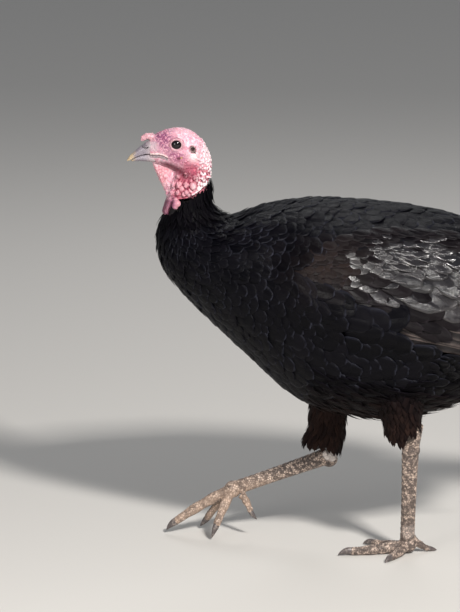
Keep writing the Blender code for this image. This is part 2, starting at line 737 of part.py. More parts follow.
def main():
    for old in list(bpy.data.objects):
        bpy.data.objects.remove(old)
    torso, neck = make_torso(), make_neck()
    eyes = make_eyes()
    head = make_head(eyes)
    upper, lower = make_bill(head)
    make_snood(head, upper)
    make_throat(head, neck, lower)
    wing = make_wing(torso)
    mirrored(wing, "wing_right")
    make_tail(torso)
    for side in ("left", "right"):
        thigh = make_thigh(side, torso)
        shank = make_shank(side, thigh)
        make_foot(side, shank)


main()
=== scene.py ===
import math
import random
from collections import namedtuple

import bmesh
import bpy
import numpy as np
from mathutils import Matrix, Vector
from mathutils.bvhtree import BVHTree


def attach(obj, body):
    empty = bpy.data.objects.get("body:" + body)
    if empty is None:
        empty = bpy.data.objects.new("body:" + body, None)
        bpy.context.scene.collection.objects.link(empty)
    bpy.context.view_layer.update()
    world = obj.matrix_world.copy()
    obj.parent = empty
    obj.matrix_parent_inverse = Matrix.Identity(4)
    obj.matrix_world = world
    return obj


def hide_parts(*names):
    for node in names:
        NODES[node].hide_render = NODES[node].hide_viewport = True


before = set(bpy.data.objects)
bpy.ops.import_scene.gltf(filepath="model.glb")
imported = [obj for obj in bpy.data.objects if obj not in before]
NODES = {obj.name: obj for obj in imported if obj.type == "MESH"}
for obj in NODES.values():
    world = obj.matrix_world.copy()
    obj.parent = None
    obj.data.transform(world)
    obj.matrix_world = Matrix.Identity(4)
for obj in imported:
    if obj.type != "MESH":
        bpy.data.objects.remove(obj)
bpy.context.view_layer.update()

LENGTH = 0.830
# The body's side outline and breadth, from under the head to the tail's root:
# back x, back z, breast x, breast z, half-breadth. Every x is a distance behind the bill tip.
BODY = np.array((
    (0.120, 0.520, 0.057, 0.518, 0.028),
    (0.123, 0.505, 0.050, 0.495, 0.033),
    (0.137, 0.493, 0.043, 0.467, 0.043),
    (0.151, 0.490, 0.043, 0.441, 0.054),
    (0.170, 0.495, 0.054, 0.410, 0.069),
    (0.194, 0.5045, 0.084, 0.374, 0.088),
    (0.227, 0.511, 0.1185, 0.340, 0.105),
    (0.267, 0.5145, 0.1695, 0.292, 0.122),
    (0.310, 0.5135, 0.239, 0.230, 0.132),
    (0.353, 0.5105, 0.306, 0.207, 0.135),
    (0.403, 0.5045, 0.381, 0.199, 0.130),
    (0.446, 0.496, 0.453, 0.215, 0.118),
    (0.489, 0.483, 0.517, 0.246, 0.097),
    (0.531, 0.466, 0.571, 0.295, 0.068),
    (0.567, 0.447, 0.600, 0.342, 0.040),
    (0.590, 0.418, 0.610, 0.378, 0.016),
))
# The feathers also climb the nape: these rows come before BODY's.
NAPE = np.array((
    (0.1185, 0.562, 0.066, 0.560, 0.0185),
    (0.1205, 0.540, 0.062, 0.540, 0.0245),
))
COAT_FORM = np.vstack((NAPE, BODY))
# The surface that the folded wing lies on, from the shoulder to the wing's tips: columns as in BODY.
WING_FORM = np.array((
    (0.151, 0.490, 0.043, 0.441, 0.050),
    (0.170, 0.495, 0.054, 0.410, 0.067),
    (0.194, 0.5045, 0.084, 0.374, 0.087),
    (0.227, 0.511, 0.1185, 0.340, 0.106),
    (0.267, 0.5145, 0.1695, 0.292, 0.124),
    (0.310, 0.5135, 0.239, 0.230, 0.135),
    (0.353, 0.5105, 0.306, 0.207, 0.139),
    (0.403, 0.506, 0.381, 0.199, 0.137),
    (0.446, 0.502, 0.446, 0.198, 0.131),
    (0.489, 0.496, 0.500, 0.194, 0.121),
    (0.531, 0.488, 0.555, 0.190, 0.106),
    (0.570, 0.478, 0.605, 0.185, 0.089),
    (0.605, 0.466, 0.650, 0.180, 0.074),
))
HOCK = {"left": (0.4035, -0.056, 0.165), "right": (0.2895, 0.072, 0.1205)}
FOOT = {"left": (0.4015, -0.020, 0.0122), "right": (0.150, 0.078, 0.0690)}
THIGHS = {
    "left": (
        (0.380, -0.062, 0.275, 0.042, 0.050),
        (0.386, -0.062, 0.235, 0.036, 0.036),
        (0.3905, -0.061, 0.200, 0.028, 0.0268),
        (0.3925, -0.059, 0.180, 0.0235, 0.0255),
        (0.3955, -0.0575, 0.166, 0.0185, 0.0205),
        (0.3985, -0.0565, 0.156, 0.012, 0.012),
    ),
    "right": (
        (0.303, 0.066, 0.265, 0.040, 0.050),
        (0.294, 0.068, 0.225, 0.034, 0.034),
        (0.2888, 0.070, 0.186, 0.028, 0.0278),
        (0.2872, 0.071, 0.163, 0.027, 0.0275),
        (0.2832, 0.0715, 0.148, 0.025, 0.0298),
        (0.2805, 0.072, 0.134, 0.022, 0.0292),
        (0.2860, 0.072, 0.119, 0.014, 0.0200),
    ),
}
EYE = (0.0703, 0.0136, 0.5960)
EYE_RADIUS = 0.0095
EAR = (0.0935, 0.5895)
VANE_THICKNESS = 0.00022
TAIL_ROOT = (0.566, 0.432)
TAIL_SLOPE = math.radians(25)
TAIL_REACH = (LENGTH - TAIL_ROOT[0]) / math.cos(TAIL_SLOPE)

# How closely the barbs lie along a feather, as an angle per centimetre.
BARBS = 110.0
# How deep the skin lies under the coat's surface.
COAT_DEPTH = 0.0050


def at(x, y, z):
    """The point x behind the bill tip, in the model's own frame."""
    return Vector((x - LENGTH / 2, y, z))


def steps(first, last, count):
    """count evenly spaced numbers, both ends included."""
    return [first + (last - first) * k / (count - 1) for k in range(count)]


def along(rows, place):
    """Rows of a table at places along it, on a smooth curve through them. place is a number or an array."""
    rows = np.asarray(rows, float)
    last = len(rows) - 1
    place = np.clip(np.asarray(place, float), 0.0, last)
    start = np.minimum(place.astype(int), last - 1)
    t = (place - start)[..., None]
    p, q, r, w = (rows[np.clip(start + k, 0, last)] for k in (-1, 0, 1, 2))
    return 0.5 * (2 * q + (r - p) * t + (2 * p - 5 * q + 4 * r - w) * t**2 + (3 * q - p - 3 * r + w) * t**3)


def body_points(row, turn):
    """Points on the body at rows of COAT_FORM and angles round it, 0 the right side, pi / 2 the back."""
    table = along(COAT_FORM, row)
    centre_x, centre_z = (table[..., 0] + table[..., 2]) / 2, (table[..., 1] + table[..., 3]) / 2
    up_x, up_z = (table[..., 0] - table[..., 2]) / 2, (table[..., 1] - table[..., 3]) / 2
    x = centre_x + up_x * np.sin(turn) - LENGTH / 2
    y = table[..., 4] * np.cos(turn)
    z = centre_z + up_z * np.sin(turn)
    return np.stack((x, y, z), axis=-1)


def wing_surface(x, z):
    """Points of the left wing's surface seen at x and z from the side, for arrays."""
    x, z = np.broadcast_arrays(np.asarray(x, float), np.asarray(z, float))
    low, high = np.zeros(x.shape), np.full(x.shape, len(WING_FORM) - 1.0)
    for _ in range(26):
        row = (low + high) / 2
        table = along(WING_FORM, row)
        off_x, off_z = x - (table[..., 0] + table[..., 2]) / 2, z - (table[..., 1] + table[..., 3]) / 2
        up_x, up_z = (table[..., 0] - table[..., 2]) / 2, (table[..., 1] - table[..., 3]) / 2
        behind = up_x * off_z - up_z * off_x > 0
        low, high = np.where(behind, low, row), np.where(behind, row, high)
    share = np.clip((off_x * up_x + off_z * up_z) / (up_x**2 + up_z**2), -0.97, 0.97)
    y = -table[..., 4] * np.sqrt(1 - share**2)
    return np.stack((x - LENGTH / 2, y, z), axis=-1)


def wing_points(x, z, height):
    """Points raised outwards off the left wing's surface."""
    step = 0.004
    along_x = wing_surface(x + step, z) - wing_surface(x - step, z)
    along_z = wing_surface(x, z + step) - wing_surface(x, z - step)
    normal = np.cross(along_x, along_z)
    normal /= np.linalg.norm(normal, axis=-1, keepdims=True)
    return wing_surface(x, z) + normal * np.asarray(height)[..., None]


def bake_place(points):
    """Where points fall on an unwrap of the body's own shape: round its long axis, and along it."""
    axis_x = np.array((-0.42, -0.33, -0.30, -0.10, 0.12, 0.20, 0.42))
    axis_z = np.array((0.575, 0.575, 0.47, 0.37, 0.37, 0.39, 0.31))
    middle = np.interp(points[..., 0], axis_x, axis_z)
    round_body = np.arctan2(points[..., 1], points[..., 2] - middle) / (2 * math.pi) + 0.5
    return np.stack((0.02 + 0.96 * round_body, 0.02 + 0.96 * (points[..., 0] + 0.42) / 0.84), axis=-1)


def place_in_scene(name, data):
    """A scene object of a mesh, a light or a camera."""
    made = bpy.data.objects.new(name, data)
    bpy.context.scene.collection.objects.link(made)
    return made


def mesh_object(name, points, faces):
    """A scene object from lists of points and of faces."""
    data = bpy.data.meshes.new(name)
    data.from_pydata(points, [], faces)
    return place_in_scene(name, data)


def finish_mesh(made, finish):
    """Smooth shading and one material."""
    made.data.materials.clear()
    made.data.materials.append(finish)
    made.data.polygons.foreach_set("use_smooth", np.ones(len(made.data.polygons), bool))
    made.data.update()
    return made


def attribute(data, name, values):
    """A float attribute on the points of a mesh."""
    layer = data.attributes.new(name, "FLOAT", "POINT")
    layer.data.foreach_set("value", np.ascontiguousarray(values, np.float32).ravel())


def point_uv(data, name, places):
    """A UV map from one place for each point of the mesh."""
    layer = data.uv_layers.new(name=name)
    loops = np.empty(len(data.loops), np.int32)
    data.loops.foreach_get("vertex_index", loops)
    layer.data.foreach_set("uv", np.ascontiguousarray(places[loops], np.float32).ravel())


def build_feathers(name, tops, reach, lengths, breadths, looks, finish):
    """One closed mesh of many feathers. tops holds each one's upper face: feather, along, across, xyz."""
    count, rows, columns = tops.shape[:3]
    step_a = np.gradient(tops, axis=1)
    step_c = np.gradient(tops, axis=2)
    normal = np.cross(step_c, step_a)
    normal /= np.maximum(np.linalg.norm(normal, axis=-1, keepdims=True), 1e-12)
    edge = np.abs(np.linspace(-1, 1, columns))
    depth = VANE_THICKNESS * (1.0 - 0.6 * edge**2)
    unders = tops - normal * depth[None, None, :, None]
    points = np.concatenate((tops.reshape(count, -1, 3), unders.reshape(count, -1, 3)), axis=1)
    size = rows * columns
    faces = []
    for r in range(rows - 1):
        for c in range(columns - 1):
            a = r * columns + c
            faces.append((a, a + 1, a + columns + 1, a + columns))
            faces.append((size + a, size + a + columns, size + a + columns + 1, size + a + 1))
    rim = [r * columns for r in range(rows)]
    rim += [(rows - 1) * columns + c for c in range(1, columns)]
    rim += [r * columns + columns - 1 for r in range(rows - 2, -1, -1)]
    rim += [c for c in range(columns - 2, 0, -1)]
    for a, b in zip(rim, rim[1:] + rim[:1]):
        faces.append((a, b, size + b, size + a))
    faces = np.array(faces)
    all_faces = (faces[None] + (np.arange(count) * size * 2)[:, None, None]).reshape(-1, 4)
    made = finish_mesh(mesh_object(name, points.reshape(-1, 3).tolist(), all_faces.tolist()), finish)
    data = made.data
    a_share = reach[:, None] * np.ones(columns)
    c_share = np.ones(rows)[:, None] * np.linspace(-1, 1, columns)
    flat = np.stack((c_share, a_share), axis=-1).reshape(1, size, 2)
    vane = np.tile(flat, (count, 2, 1))
    roots = bake_place(tops[:, 0, columns // 2])
    bake = np.repeat(roots[:, None], size * 2, axis=1) + (vane - (0, 0.5)) * (0.0014, 0.003)
    point_uv(data, "OFBake", bake.reshape(-1, 2))
    metres = vane * np.stack((breadths / 2, lengths), axis=-1)[:, None, :]
    point_uv(data, "Vane", (metres * 100).reshape(-1, 2))
    attribute(data, "across", np.abs(vane[..., 0]))
    attribute(data, "reach", vane[..., 1])
    for look, values in looks.items():
        attribute(data, look, np.repeat(values[:, None], size * 2, axis=1))
    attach(made, "root")
    return made


def vane_breadth(share, point):
    """A feather's breadth along it: narrow at the root, full past the middle, round or pointed at the tip."""
    rise = np.clip(share / 0.35, 0, 1)
    body = 0.30 + 0.70 * (1 - (1 - rise) ** 2)
    fall = np.clip((share - 0.52) / 0.48, 0, 1)
    rounded = np.sqrt(np.clip(1 - fall**2.4, 0, 1))
    pointed = 1 - fall**1.15
    tip = rounded * (1 - point) + pointed * point
    return body * np.maximum(tip, 0.04)


def noise(points, size, seed=0):
    """Smooth random values from -1 to 1 at an array of points, with features of that size."""
    place = points / size + seed * 17.31
    cell = np.floor(place).astype(np.int64)
    blend = place - cell
    blend = blend * blend * (3 - 2 * blend)
    total = np.zeros(points.shape[:-1])
    for corner in np.ndindex(2, 2, 2):
        key = cell + corner
        key = (key[..., 0] * 73856093) ^ (key[..., 1] * 19349663) ^ (key[..., 2] * 83492791)
        value = (((key * 2654435761) >> 9) & 0xFFFF) / 32767.5 - 1.0
        total += value * np.prod(np.where(np.array(corner, bool), blend, 1 - blend), axis=-1)
    return total


def soft(value, low, high):
    """0 below low, 1 above high and a smooth rise between them."""
    share = np.clip((np.asarray(value, float) - low) / (high - low), 0, 1)
    return share * share * (3 - 2 * share)


def inside(x, z, outline):
    """How far points lie inside an outline seen from the side. Outside it the distance is negative."""
    x, z = np.asarray(x, float), np.asarray(z, float)
    nearest = np.full(x.shape, 9.0)
    crossings = np.zeros(x.shape, int)
    for (x0, z0), (x1, z1) in zip(outline, outline[1:] + outline[:1]):
        run_x, run_z = x1 - x0, z1 - z0
        share = np.clip(((x - x0) * run_x + (z - z0) * run_z) / (run_x**2 + run_z**2), 0, 1)
        nearest = np.minimum(nearest, np.hypot(x - x0 - share * run_x, z - z0 - share * run_z))
        if z0 != z1:
            crossings += ((z0 > z) != (z1 > z)) & (x < x0 + (z - z0) / (z1 - z0) * run_x)
    return np.where(crossings % 2 == 1, nearest, -nearest)


def material(name, roughness, **uniform):
    """A new Principled material. Returns it with its node graph and shader."""
    made = bpy.data.materials.new(name)
    made.use_nodes = True
    shader = made.node_tree.nodes["Principled BSDF"]
    shader.inputs["Roughness"].default_value = roughness
    for key, value in uniform.items():
        shader.inputs[key.replace("_", " ")].default_value = value
    return made, made.node_tree, shader


def feed(graph, socket, value):
    """Links a socket to another one, or gives it a number or colour."""
    if isinstance(value, bpy.types.NodeSocket):
        graph.links.new(value, socket)
    else:
        socket.default_value = value


def mix(graph, factor, first, second, blend="MIX"):
    """A colour mix node's result. Colours are sockets or four numbers, the factor a socket or a number."""
    node = graph.nodes.new("ShaderNodeMix")
    node.data_type = "RGBA"
    node.blend_type = blend
    for socket, value in ((node.inputs[0], factor), (node.inputs[6], first), (node.inputs[7], second)):
        feed(graph, socket, value)
    return node.outputs[2]


def sums(graph, kind, *values):
    """The result of a maths node on sockets or numbers."""
    node = graph.nodes.new("ShaderNodeMath")
    node.operation = kind
    for socket, value in zip(node.inputs, values):
        feed(graph, socket, value)
    return node.outputs[0]


def spread(graph, value, low, high):
    """A socket's values from low to high spread smoothly from 0 to 1."""
    node = graph.nodes.new("ShaderNodeMapRange")
    node.interpolation_type = "SMOOTHSTEP"
    graph.links.new(value, node.inputs["Value"])
    node.inputs["From Min"].default_value = low
    node.inputs["From Max"].default_value = high
    return node.outputs["Result"]


def read_attribute(graph, name):
    """An attribute's value as a socket."""
    node = graph.nodes.new("ShaderNodeAttribute")
    node.attribute_name = name
    return node.outputs["Fac"]


def object_noise(graph, scale, detail=3.0):
    """Noise through the object's own space."""
    place = graph.nodes.new("ShaderNodeTexCoord")
    texture = graph.nodes.new("ShaderNodeTexNoise")
    texture.inputs["Scale"].default_value = scale
    texture.inputs["Detail"].default_value = detail
    graph.links.new(place.outputs["Object"], texture.inputs["Vector"])
    return texture.outputs["Fac"]


def add_bump(graph, shader, height, strength, distance):
    """Bump from a height socket, on top of what the shader already has."""
    bump = graph.nodes.new("ShaderNodeBump")
    bump.inputs["Strength"].default_value = strength
    bump.inputs["Distance"].default_value = distance
    graph.links.new(height, bump.inputs["Height"])
    if shader.inputs["Normal"].is_linked:
        graph.links.new(shader.inputs["Normal"].links[0].from_socket, bump.inputs["Normal"])
    graph.links.new(bump.outputs["Normal"], shader.inputs["Normal"])


def feather_material(name, base, brown, sheen_and_shaft, sheen_share, shaft_share, roughness, gloss, crinkle):
    """A dark feather, brown where the brown attribute says, with barbs, a shaft and painted sheen at its
    edges.
    """
    made, graph, shader = material(name, roughness, Specular_IOR_Level=gloss)
    tone, across, reach = (read_attribute(graph, key) for key in ("tone", "across", "reach"))
    uv = graph.nodes.new("ShaderNodeUVMap")
    uv.uv_map = "Vane"
    split = graph.nodes.new("ShaderNodeSeparateXYZ")
    graph.links.new(uv.outputs["UV"], split.inputs["Vector"])
    off_shaft = sums(graph, "ABSOLUTE", split.outputs["X"])
    slanted = sums(graph, "SUBTRACT", split.outputs["Y"], sums(graph, "MULTIPLY", off_shaft, 0.9))
    barb = sums(graph, "SINE", sums(graph, "MULTIPLY", slanted, BARBS))
    rusty = read_attribute(graph, "brown")
    colour = mix(graph, rusty, base, brown)
    lit = mix(graph, tone, (0.55, 0.55, 0.62, 1), (1.5, 1.4, 1.3, 1))
    colour = mix(graph, 1.0, colour, lit, "MULTIPLY")
    sides = sums(graph, "MULTIPLY", sums(graph, "POWER", across, 7.0), 0.7)
    edge = sums(graph, "MAXIMUM", spread(graph, reach, 0.92, 1.0), sides)
    # Painted sheen: the edges and tip are mixed in patches towards the paler sheen colour.
    wear_and_sheen = sums(graph, "MULTIPLY", edge, spread(graph, object_noise(graph, 26.0), 0.30, 0.70))
    colour = mix(graph, sums(graph, "MULTIPLY", wear_and_sheen, sheen_share), colour, sheen_and_shaft)
    shaft = sums(graph, "LESS_THAN", off_shaft, 0.030)
    colour = mix(graph, sums(graph, "MULTIPLY", shaft, shaft_share), colour, sheen_and_shaft)
    graph.links.new(colour, shader.inputs["Base Color"])
    patchy = sums(graph, "MULTIPLY", object_noise(graph, 60.0), 0.22)
    rough = sums(graph, "ADD", patchy, sums(graph, "MULTIPLY", tone, 0.10))
    rough = sums(graph, "ADD", rough, sums(graph, "MULTIPLY", rusty, 0.30))
    graph.links.new(sums(graph, "ADD", rough, roughness - 0.16), shader.inputs["Roughness"])
    folds = sums(graph, "MULTIPLY", object_noise(graph, 200.0, 2.0), crinkle)
    add_bump(graph, shader, sums(graph, "ADD", barb, folds), 0.35, 0.00025)
    return made


def tip_steps(count):
    """Places along a feather, closer together towards its rounded tip."""
    return 1 - (1 - np.linspace(0, 1, count)) ** 1.7


# A zone of feathers: the rows and turns of the surface that it covers, how far apart the feathers lie along a
# column and the columns from each other, their length and width for those, how pointed they are, how deep
# their roots sink, how far their tips stand out, how much they roll, and the grid of each one's face.
Zone = namedtuple("Zone", "rows turns exposure spacing long wide point sink jut roll grid",
                  defaults=(0.0007, 0.10, (10, 7)))


def lay(name, surface, last, zone, rng, finish, keep, hand=1):
    """Feathers in staggered rows over a surface, each with a sunk root and its tip at the coat's surface."""
    turns, exposure = zone.turns, zone.exposure
    fine = np.linspace(zone.rows[0], last, 300)
    ring = surface(np.full(240, sum(zone.rows) / 2), np.linspace(*turns, 240))
    columns = max(int(np.linalg.norm(np.diff(ring, axis=0), axis=1).sum() / zone.spacing), 4)
    between = (turns[1] - turns[0]) / columns
    high, wide_count = zone.grid
    reach = tip_steps(high)
    side = np.linspace(-1, 1, wide_count)
    shape = vane_breadth(reach, zone.point)[None, :, None]
    tops, lengths, breadths = [], [], []
    for column in range(columns):
        turn = turns[0] + between * (column + 0.5)
        line = surface(fine, np.full(300, turn))
        run = np.concatenate(([0], np.cumsum(np.linalg.norm(np.diff(line, axis=0), axis=1))))
        end = np.interp(zone.rows[1], fine, run)
        starts = np.arange(exposure * (0.5 * (column % 2)), end, exposure)
        starts = starts + rng.uniform(-0.20, 0.20, len(starts)) * exposure
        count = len(starts)
        length = zone.long * exposure * rng.uniform(0.90, 1.10, count)
        fray = rng.uniform(-0.05, 0.05, (count, high, wide_count)) * np.abs(side) ** 2
        far = reach[None, :, None]
        place = starts[:, None, None] + length[:, None, None] * (far + fray * far)
        row = np.interp(place, run, fine)
        over = np.maximum(place - run[-1], 0.0)
        root = row[:, 0, wide_count // 2]
        beside = surface(root, np.full(count, turn + 0.01)) - surface(root, np.full(count, turn))
        girth = (np.linalg.norm(beside, axis=-1) / 0.01)[:, None, None]
        breadth = zone.wide * abs(between) * girth[:, 0, 0] * rng.uniform(0.88, 1.14, count)
        drift = np.tan(rng.uniform(-0.20, 0.20, count))[:, None, None] * far * length[:, None, None]
        spin = turn + np.sign(between) * (side * breadth[:, None, None] / 2 * shape + drift) / girth
        flat = surface(row, spin)
        step_turn = (surface(row, spin + 0.02) - flat) * np.sign(between)
        step_row = surface(np.minimum(row + 0.05, last), spin) - surface(np.maximum(row - 0.05, 0), spin)
        normal = np.cross(step_turn, step_row) * hand
        normal /= np.maximum(np.linalg.norm(normal, axis=-1, keepdims=True), 1e-9)
        away = (line[-1] - line[-8]) / np.linalg.norm(line[-1] - line[-8])
        stand = zone.sink + zone.jut * rng.uniform(0.1, 1.9, (count, 1, 1))
        height = stand * soft(reach, -0.25, 1.05)[None, :, None] - zone.sink
        height = height + 0.05 * breadth[:, None, None] * (1 - side**2) * shape
        height = height + rng.uniform(-0.0004, 0.0005, (count, 1, 1)) * far
        roll = rng.uniform(-1, 1, (count, 1, 1)) * zone.roll * breadth[:, None, None] / 2
        height = height + roll * side * shape * far
        lifted = flat + over[..., None] * away + normal * height[..., None]
        allowed = keep(*(lifted[:, k, wide_count // 2] for k in (0, int(high * 0.6), -1)))
        tops.append(lifted[allowed])
        lengths.append(length[allowed])
        breadths.append(breadth[allowed])
    tops = np.concatenate(tops)[:, :, ::hand]
    looks = {"tone": rng.uniform(0, 1, len(tops)), "brown": brown_at(tops[:, high // 2, wide_count // 2])}
    return build_feathers(name, tops, reach, np.concatenate(lengths), np.concatenate(breadths), looks, finish)


def brown_at(points):
    """How rusty brown the feathers are at places: on the wing's bow, and a little on the flank and belly."""
    x, z = points[..., 0] + LENGTH / 2, points[..., 2]
    bow = np.exp(-(((x - 0.285) / 0.050) ** 2 + ((z - 0.440) / 0.030) ** 2))
    bow = bow * (np.abs(points[..., 1]) > 0.09)
    low = soft(-z, -0.27, -0.18)
    return np.clip(bow * 0.65 + low * 0.55, 0, 1)


# The lower and upper edge of the wing's glossy band, as x and z.
GLOSS_LOWER = ((0.28, 0.440), (0.34, 0.418), (0.40, 0.402), (0.50, 0.384))
GLOSS_UPPER = ((0.26, 0.453), (0.30, 0.467), (0.36, 0.476), (0.42, 0.478), (0.50, 0.462), (0.54, 0.430))


def glossy(root, middle, tip):
    """True for the wing's glossy coverts: fewer at the bow and the lower edge, and a few dull between."""
    x, z = root[:, 0] + LENGTH / 2, root[:, 2]
    lower, upper = (np.interp(x, *np.array(line).T) for line in (GLOSS_LOWER, GLOSS_UPPER))
    share = soft(x, 0.225, 0.375) * soft(z - lower, -0.024, 0.018) * soft(upper - z, -0.012, 0.010)
    return share * 0.92 > 0.5 + 0.60 * noise(root, 0.0045, 4)


def matte(root, middle, tip):
    """True for the coverts that are not glossy."""
    return ~glossy(root, middle, tip)


# The outline of the folded wing that the body's feathers are draped over, as x and z.
WING_OUTLINE = (
    (0.225, 0.425), (0.250, 0.460), (0.300, 0.478), (0.360, 0.487), (0.420, 0.488), (0.500, 0.470),
    (0.530, 0.455), (0.530, 0.400), (0.500, 0.340), (0.570, 0.315), (0.575, 0.285), (0.480, 0.300),
    (0.400, 0.335), (0.340, 0.350), (0.290, 0.365), (0.240, 0.390),
)
# The part of the folded wing that the flank's and back's feathers leave bare.
WING_BARE = (
    (0.242, 0.430), (0.260, 0.453), (0.300, 0.467), (0.360, 0.476), (0.420, 0.478), (0.500, 0.462),
    (0.540, 0.430), (0.560, 0.340), (0.600, 0.300), (0.572, 0.292), (0.474, 0.317), (0.404, 0.338),
    (0.400, 0.374), (0.366, 0.395), (0.306, 0.412), (0.255, 0.419),
)
# How far the folded arm's muscle raises the wing's coverts, at places from the shoulder back.
WING_RISE = ((0.205, 0.0), (0.214, 0.006), (0.232, 0.0105), (0.262, 0.0130), (0.340, 0.0130), (0.375, 0.0110),
             (0.420, 0.0085), (0.500, 0.0060), (0.560, 0.0040))


def draped_body(row, turn):
    """The body's surface, carried out over the folded wings where they lie on it."""
    points = body_points(row, turn)
    x, z = points[..., 0] + LENGTH / 2, points[..., 2]
    over = soft(inside(x, z, WING_OUTLINE), -0.035, 0.015)
    rise = np.interp(x, *np.array(WING_RISE).T)
    wing_y = -wing_surface(x, z)[..., 1] + rise + 0.003
    half = np.abs(points[..., 1])
    over = over * soft(half, 0.030, 0.085)
    grown = half + np.maximum(wing_y - half, 0.0) * over
    points[..., 1] = np.sign(points[..., 1]) * grown
    return points


def outside_wing(root, middle, tip):
    """True for feathers that don't lie over the bare part of a folded wing."""
    x, z = middle[:, 0] + LENGTH / 2, middle[:, 2]
    side = np.abs(middle[:, 1]) > 0.045
    return ~((inside(x, z, WING_BARE) > 0.0) & side)


# The edge of the neck's feathers below the bare skin, as x and z, and the bulbs that hang over it.
NAPE_LINE = ((0.0480, 0.4970), (0.0600, 0.4990), (0.0680, 0.5080), (0.0740, 0.5190), (0.0843, 0.5220),
             (0.0979, 0.5285), (0.1129, 0.5385), (0.1180, 0.5480))
LOW_BULB = (0.0700, 0.5115)


def nape_line(x):
    """The height where the feathers begin under the bare skin, which climbs at the nape."""
    return np.interp(x, *np.array(NAPE_LINE).T)


def below_nape_line(root, middle, tip):
    """True for feathers that grow below the edge of the bare skin and leave the lowest bulbs free."""
    free = np.ones(len(root), bool)
    for points in (root, middle, tip):
        near = np.hypot(points[:, 0] + LENGTH / 2 - LOW_BULB[0], points[:, 2] - LOW_BULB[1]) < 0.0085
        free &= ~(near & (np.abs(points[:, 1]) < 0.030))
    return free & (root[:, 2] < nape_line(root[:, 0] + LENGTH / 2))


def on_flank(points):
    """How far points lie on the part of the flank with the broadest feathers."""
    x, z = points[:, 0] + LENGTH / 2, points[:, 2]
    return np.hypot((x - 0.350) / 0.070, (z - 0.368) / 0.045) < 1


def broad_flank(root, middle, tip):
    """True for the broad feathers of the flank."""
    return on_flank(root) & outside_wing(root, middle, tip)


def plain_side(root, middle, tip):
    """True for the side's feathers round the broad ones."""
    return ~on_flank(root) & outside_wing(root, middle, tip)


def tucked(root, middle, tip):
    """True for the feathers of the body's side that lie well under a folded wing's rear."""
    deep = np.ones(len(root), bool)
    for points in (root, middle, tip):
        x, z, half = points[:, 0] + LENGTH / 2, points[:, 2], np.abs(points[:, 1])
        deep &= -wing_surface(x, z)[:, 1] - half > 0.010
    return deep & (root[:, 0] + LENGTH / 2 > 0.43) & (np.abs(middle[:, 1]) > 0.035)


def dress_body(finish, hair):
    """The small feathers of the neck, breast, back, flanks, belly and rump."""
    last = len(COAT_FORM) - 1
    whole = (-0.5 * math.pi, 1.5 * math.pi)
    belly = (-0.82 * math.pi, -0.18 * math.pi)
    zones = {
        "hackle": (hair, below_nape_line,
                   Zone((0.4, 3.8), whole, 0.0072, 0.0056, 2.9, 1.20, 0.95, 0.0020, 0.0020, 0.25)),
        "coat_neck": (finish, everywhere,
                      Zone((3.4, 6.2), whole, 0.0088, 0.0084, 2.7, 1.45, 0.55, 0.0028, 0.0012, 0.16)),
        "coat_breast": (finish, outside_wing,
                        Zone((5.9, 9.2), whole, 0.0130, 0.0130, 2.4, 1.60, 0.15, 0.0032)),
        "coat_side": (finish, plain_side, Zone((8.9, 13.5), whole, 0.0170, 0.0175, 2.4, 1.70, 0.06, 0.0034)),
        "coat_flank": (finish, broad_flank, Zone((8.9, 13.0), whole, 0.0230, 0.0260, 2.5, 1.60, 0.0, 0.0062)),
        "coat_rump": (finish, outside_wing,
                      Zone((13.2, 16.8), whole, 0.0150, 0.0150, 2.6, 1.65, 0.15, 0.0034)),
        "coat_tucked": (finish, tucked, Zone((10.0, 16.0), whole, 0.0150, 0.0150, 2.5, 1.65, 0.10, 0.0034)),
        "coat_curl": (finish, under_wing,
                      Zone((10.5, 15.5), whole, 0.0110, 0.0115, 2.4, 1.40, 0.1, 0.0036, 0.0040)),
        "coat_belly": (hair, everywhere,
                       Zone((10.0, 15.5), belly, 0.0120, 0.0080, 2.8, 1.20, 0.85, 0.0020, 0.0035,
                            grid=(7, 5))),
    }
    for name, (chosen, keep, zone) in zones.items():
        surface = body_points if name == "coat_tucked" else draped_body
        made = lay(name, surface, last, zone, np.random.default_rng(11), chosen, keep)


def under_wing(root, middle, tip):
    """True for the small curled feathers below the folded wing's tip."""
    x, z = middle[:, 0] + LENGTH / 2, middle[:, 2]
    return (np.hypot((x - 0.450) / 0.034, (z - 0.289) / 0.020) < 1) & (np.abs(middle[:, 1]) > 0.040)


def everywhere(root, middle, tip):
    """True for every feather."""
    return np.ones(len(root), bool)


def thigh_surface(side):
    """A function from places down a drumstick and round it to points on its surface."""
    table = np.array(THIGHS[side])

    def surface(row, turn):
        row, turn = np.broadcast_arrays(row, turn)
        sizes = along(table, row)
        x = sizes[..., 0] - LENGTH / 2 + sizes[..., 4] * np.cos(turn)
        y = sizes[..., 1] + sizes[..., 3] * np.sin(turn)
        return np.stack((x, y, sizes[..., 2]), axis=-1)

    return surface


# The lower edge of each drumstick's feathers, as x and z.
THIGH_EDGES = {
    "left": ((0.350, 0.184), (0.368, 0.178), (0.3835, 0.164), (0.398, 0.174), (0.418, 0.191), (0.440, 0.195)),
    "right": ((0.240, 0.136), (0.2514, 0.1340), (0.2900, 0.1280), (0.3071, 0.1180), (0.330, 0.113)),
}


def dress_thighs(finish):
    """The soft feathers of the drumsticks."""
    rng = np.random.default_rng(12)
    for side, edge in THIGH_EDGES.items():

        def above_edge(root, middle, tip, edge=np.array(edge)):
            lowest = np.interp(tip[:, 0] + LENGTH / 2, edge[:, 0], edge[:, 1])
            return tip[:, 2] > lowest - rng.uniform(0, 0.003, len(tip))

        last = len(THIGHS[side]) - 1
        whole = (2 * math.pi, 0.0)
        zone = Zone((0.0, last), whole, 0.0080, 0.0062, 2.6, 1.35, 0.85, 0.0030, 0.0014, grid=(7, 5))
        made = lay("coat_thigh_" + side, thigh_surface(side), last, zone, rng, finish, above_edge)


